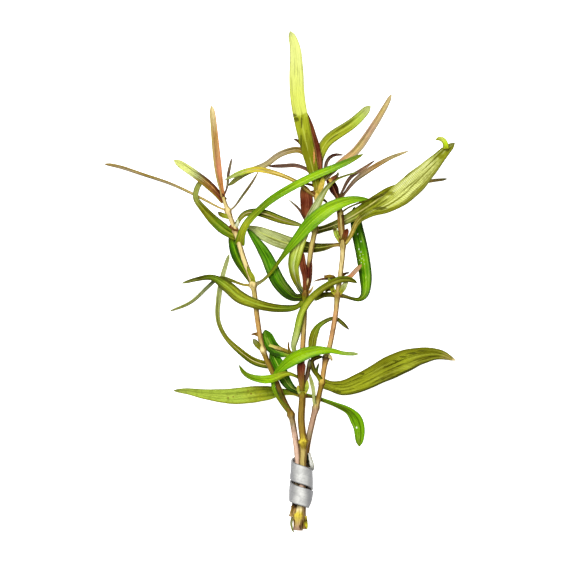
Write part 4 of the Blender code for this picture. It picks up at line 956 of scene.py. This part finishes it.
def small_bits():
    """Young leaves in the axils, stubs and buds at the joints, shreds at the cut ends, and painted shadow."""
    plain = {"node": False, "rib": None, "streaks": 0.5, "mottle": 0.5}
    leaf("strip_free_end", "lead", None,
         ((11.6, -68.2, 6.6), (12.2, -70.6, 7.4), (12.8, -73, 7.8), (13.2, -75.4, 7.2)),
         (0.5, 1.4, 1.8, 1.2), "lead, pale lead, pale lead, black", pale="white", **plain)
    for bit in (
        # A black sheet of painted shadow beside the free end of the strip.
        ("strip_end_gap", "lead", None, ((11, -69, 5.6), (11.4, -71.6, 5.9), (11.9, -74, 6.2)),
         (0.4, 1.2, 1.4), "black, black, black"),
        ("left_node_scar", "red_leaf", None, ((-20.2, 22.8, 14.8), (-18.6, 21.2, 15), (-16.8, 20.8, 14.8)),
         (0.5, 0.8, 0.6), "rust, brown, rust"),
        ("left_foot_shade", "red_leaf", None, ((5, -89.4, 6.4), (4.6, -93.6, 6.2)), (0.7, 0.6),
         "brown, ochre, tan"),
        ("middle_foot_shade_left", "red_leaf", None, ((6, -94.8, 7), (6.2, -99, 6.6)), (0.5, 0.6),
         "brown, dark brown, brown"),
        ("middle_foot_shade", "red_leaf", None, ((8, -95.2, 7.4), (7.9, -99.4, 7)), (0.5, 0.7),
         "ochre, brown, dark brown"),
        ("right_base_left", "red_leaf", None, ((23.2, 29, 14.7), (23.6, 22, 14.2), (24, 15.4, 13.7)),
         (0.9, 1, 0.6), "brown, ochre, brown"),
        ("right_base_right", "red_leaf", None, ((25, 27.2, 14.5), (25.4, 22, 14.1), (25.8, 16.6, 13.6)),
         (0.7, 1, 0.6), "dark brown, brown, ochre"),
        ("middle_curled_fold", "olive_leaf", None, ((-4.4, -25, 8.6), (-1.6, -26, 9), (1.4, -26.8, 9),
         (4.2, -28.2, 8.8)), (0.8, 1.4, 1.6, 1.2), "pale lime, khaki, ochre, olive"),
        ("middle_grey_strand", "olive_leaf", -41, ((10.6, -38, 10), (11.5, -34, 10.6), (11.8, -30.4, 11)),
         (1.2, 1.8, 1.8, 1.2), "brown, plum, dark brown, grey green"),
        ("right_sweep_stub", "red_leaf", None, ((19.6, 40.4, 18.6), (21.4, 41.8, 18.9), (22.9, 42.8, 19),
         (23.2, 44.2, 19.2)), (1, 1.6, 1.4, 0.8), "straw, rust, dark brown, grey green"),
        ("right_dark_twig", "red_leaf", 2.6, ((26.2, 3.6, 12.4), (27.8, 4, 12.6)), (0.7, 0.7, 0.6),
         "brown, dark brown, dark brown"),
        ("right_hidden_leaf", "olive_leaf", -5, ((20, -4.8, 9.8), (16.6, -5.2, 9.4), (13.8, -7.4, 9)),
         (1.6, 2.2, 2.2, 1), "olive brown, dark olive, dark olive, pale green"),
        ("middle_young_leaf", "pale_leaf", 35, ((15.9, 37, 16.6), (16.8, 39.6, 17.4), (17.2, 42.4, 17.8)),
         (1.2, 2.2, 2.2, 1.2), "yellow, straw, straw, light olive"),
        ("middle_dark_stub", "red_leaf", 34, ((17.6, 33, 14.8), (19.2, 31.4, 14.8)), (0.8, 0.9, 0.7),
         "brown, maroon, maroon"),
        ("middle_left_bud", "red_leaf", 38.4, ((11.8, 39.2, 15.8), (9.2, 39.4, 16.2)), (0.8, 1, 0.5),
         "brown, maroon, plum"),
        ("middle_left_hair", "red_leaf", 36.4, ((12.2, 36.4, 15.4), (9.2, 36.8, 15.8)), (0.5, 0.5, 0.3),
         "brown, maroon, plum"),
        ("middle_brown_bud", "red_leaf", 21.8, ((11.8, 23.6, 15.6), (9.8, 25.8, 16.2), (8.6, 27.4, 16.4)),
         (1.2, 1.6, 1.4, 0.6), "brown, dark brown, maroon"),
        ("middle_side_hair", "red_leaf", -5, ((7.6, -3.2, 11.4), (6.6, -2, 11.8)), (0.6, 0.6, 0.3),
         "brown, olive, cream"),
        ("middle_right_hair", "red_leaf", -4.6, ((12.2, -3.4, 11.8), (13.4, -1.2, 12.4)), (0.8, 0.7, 0.3),
         "brown, tan, cream"),
        ("middle_thin_stub", "tan_leaf", None, ((4.4, -28.6, 9), (3.4, -26, 9.6), (3.6, -23.4, 10)),
         (0.8, 0.9, 0.8, 0.4), "olive, brown, brown"),
        ("middle_left_axil_leaf", "pale_leaf", -45, ((7.6, -43.4, 9), (7.2, -41, 9.8)), (1.2, 1.6, 0.6),
         "cream, pale green, straw"),
        ("middle_right_axil_leaf", "pale_leaf", -45, ((10.6, -42.6, 9.4), (10.9, -39, 10.2)),
         (1.2, 1.8, 0.7), "straw, pale green, pale lime"),
        ("left_side_stub", "red_leaf", -21, ((-10, -20.6, 10.6), (-11.6, -20.8, 10.8)), (0.9, 0.8, 0.5),
         "tan, brown, brown"),
        ("left_pale_axil_leaf", "pale_leaf", 21.4, ((-17, 23.4, 14.6), (-16.8, 25.8, 15.2)), (1, 1.3, 0.5),
         "pale green, white, pale green"),
        ("right_upper_lump", "red_leaf", None, ((17.6, 2.2, 12.6), (19.8, 2.6, 13), (22.2, 2.2, 12.8)),
         (0.8, 1.4, 1), "brown, olive brown, dark brown"),
        ("right_lower_lump", "red_leaf", None, ((18, -3.4, 12), (20, -2.8, 12.4), (21.8, -3.6, 12.2)),
         (0.7, 1.2, 0.9), "dark olive, dark brown, brown"),
        ("right_left_axil_leaf", "pale_leaf", -5, ((21.4, -3.6, 12.2), (20.2, -0.6, 12.8), (19.4, 2.2, 13)),
         (1.4, 2.2, 1.8, 0.8), "straw, light olive, olive, sage"),
        ("right_side_axil_leaf", "pale_leaf", -5, ((24.4, -3.6, 12), (26.2, -0.4, 12.8), (27.4, 1.8, 12.9)),
         (1.4, 2.4, 1.8, 0.8), "straw, light olive, pale sage, olive"),
        ("right_cream_hook", "pale_leaf", -29.4, ((20, -29.6, 9.8), (20.9, -31.4, 9.8)), (1, 1, 0.5),
         "cream, cream, brown"),
        ("right_dark_shoot", "dark_leaf", None, ((14.6, -36.6, 9.6), (14.8, -34.6, 10.2),
         (15.6, -32.2, 10.4)), (0.8, 1, 0.9, 0.4), "olive, forest, dark brown"),
        ("left_grey_shred", "olive_leaf", None, ((5.4, -93.4, 5), (4.5, -96.2, 4.6), (4.9, -98.8, 4.2),
         (5.7, -100.5, 4)), (0.9, 1.1, 0.9, 0.4), "brown, grey green, sage, olive"),
        ("right_foot_shred", "stem", None, ((9.9, -93.6, 5.4), (10.4, -96.4, 5.2), (10.6, -99, 4.6)),
         (1.2, 1.5, 1.4, 1), "knob yellow, dark brown, yellow, light olive"),
        ("middle_foot_shred", "stem", None, ((8.2, -93, 7.2), (8.6, -96.2, 6.8), (8.6, -99.2, 6.2)),
         (1, 1.2, 1.2, 0.9), "straw, brown, dark brown, olive"),
        ("right_torn_lobe", "pale_leaf", None, ((66.4, 53.4, 12.2), (66.2, 55.4, 12.8), (65.2, 57, 13),
         (63.6, 57.6, 12.8), (62.2, 56.9, 12.4)), (2.2, 2.2, 2.2, 1.9, 0.8),
         "light olive, lime, pale lime, light olive"),
    ):
        leaf(*bit, **plain)


def floor_and_light():
    """A white floor just under the bunch, a white sky, and two soft lamps."""
    start_afresh()
    bpy.ops.mesh.primitive_plane_add(size=12, location=(0, 0, -0.0002))
    floor = bpy.context.object
    floor.name = "floor"
    s = Shading("pale_floor")
    for socket, value in (
        ("Base Color", (0.9, 0.9, 0.9, 1.0)), ("Roughness", 0.9), ("Specular IOR Level", 0.2),
        ("Emission Color", (1, 1, 1, 1)), ("Emission Strength", 1.0),
    ):
        s.put(value, s.shader.inputs[socket])
    floor.data.materials.append(s.material)
    world = bpy.data.worlds.new("studio")
    world.use_nodes = True
    sky = world.node_tree.nodes["Background"]
    sky.inputs["Color"].default_value = (1, 1, 1, 1)
    sky.inputs["Strength"].default_value = 0.3
    bpy.context.scene.world = world
    for name, place, size, watts in (
        ("key", (-0.2, 0.35, 1.3), 0.5, 21.2),
        ("fill", (0.8, -0.5, 1.0), 1.0, 2.5),
    ):
        light = bpy.data.lights.new(name, "AREA")
        light.size = size
        light.energy = watts
        lamp = bpy.data.objects.new(name, light)
        bpy.context.scene.collection.objects.link(lamp)
        lamp.location = place
        lamp.rotation_euler = (-Vector(place)).to_track_quat("-Z", "Y").to_euler()


def camera():
    """Straight above the bunch, so far up that high and low leaves keep one scale."""
    data = bpy.data.cameras.new("camera")
    data.sensor_width = 36
    height, seen, middle_height = 4.0, 0.2304, 0.012
    data.lens = data.sensor_width * (height - middle_height) / seen
    eye = bpy.data.objects.new("camera", data)
    bpy.context.scene.collection.objects.link(eye)
    eye.location = (0.0032, -0.0022, height)
    bpy.context.scene.camera = eye
    bpy.context.scene.view_settings.view_transform = "Standard"


def main():
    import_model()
    camera()
    floor_and_light()
    stems()
    lead_strip()
    left_stem_leaves()
    middle_top_leaves()
    middle_centre_leaves()
    middle_low_leaves()
    right_top_leaves()
    right_low_leaves()
    small_bits()


main()
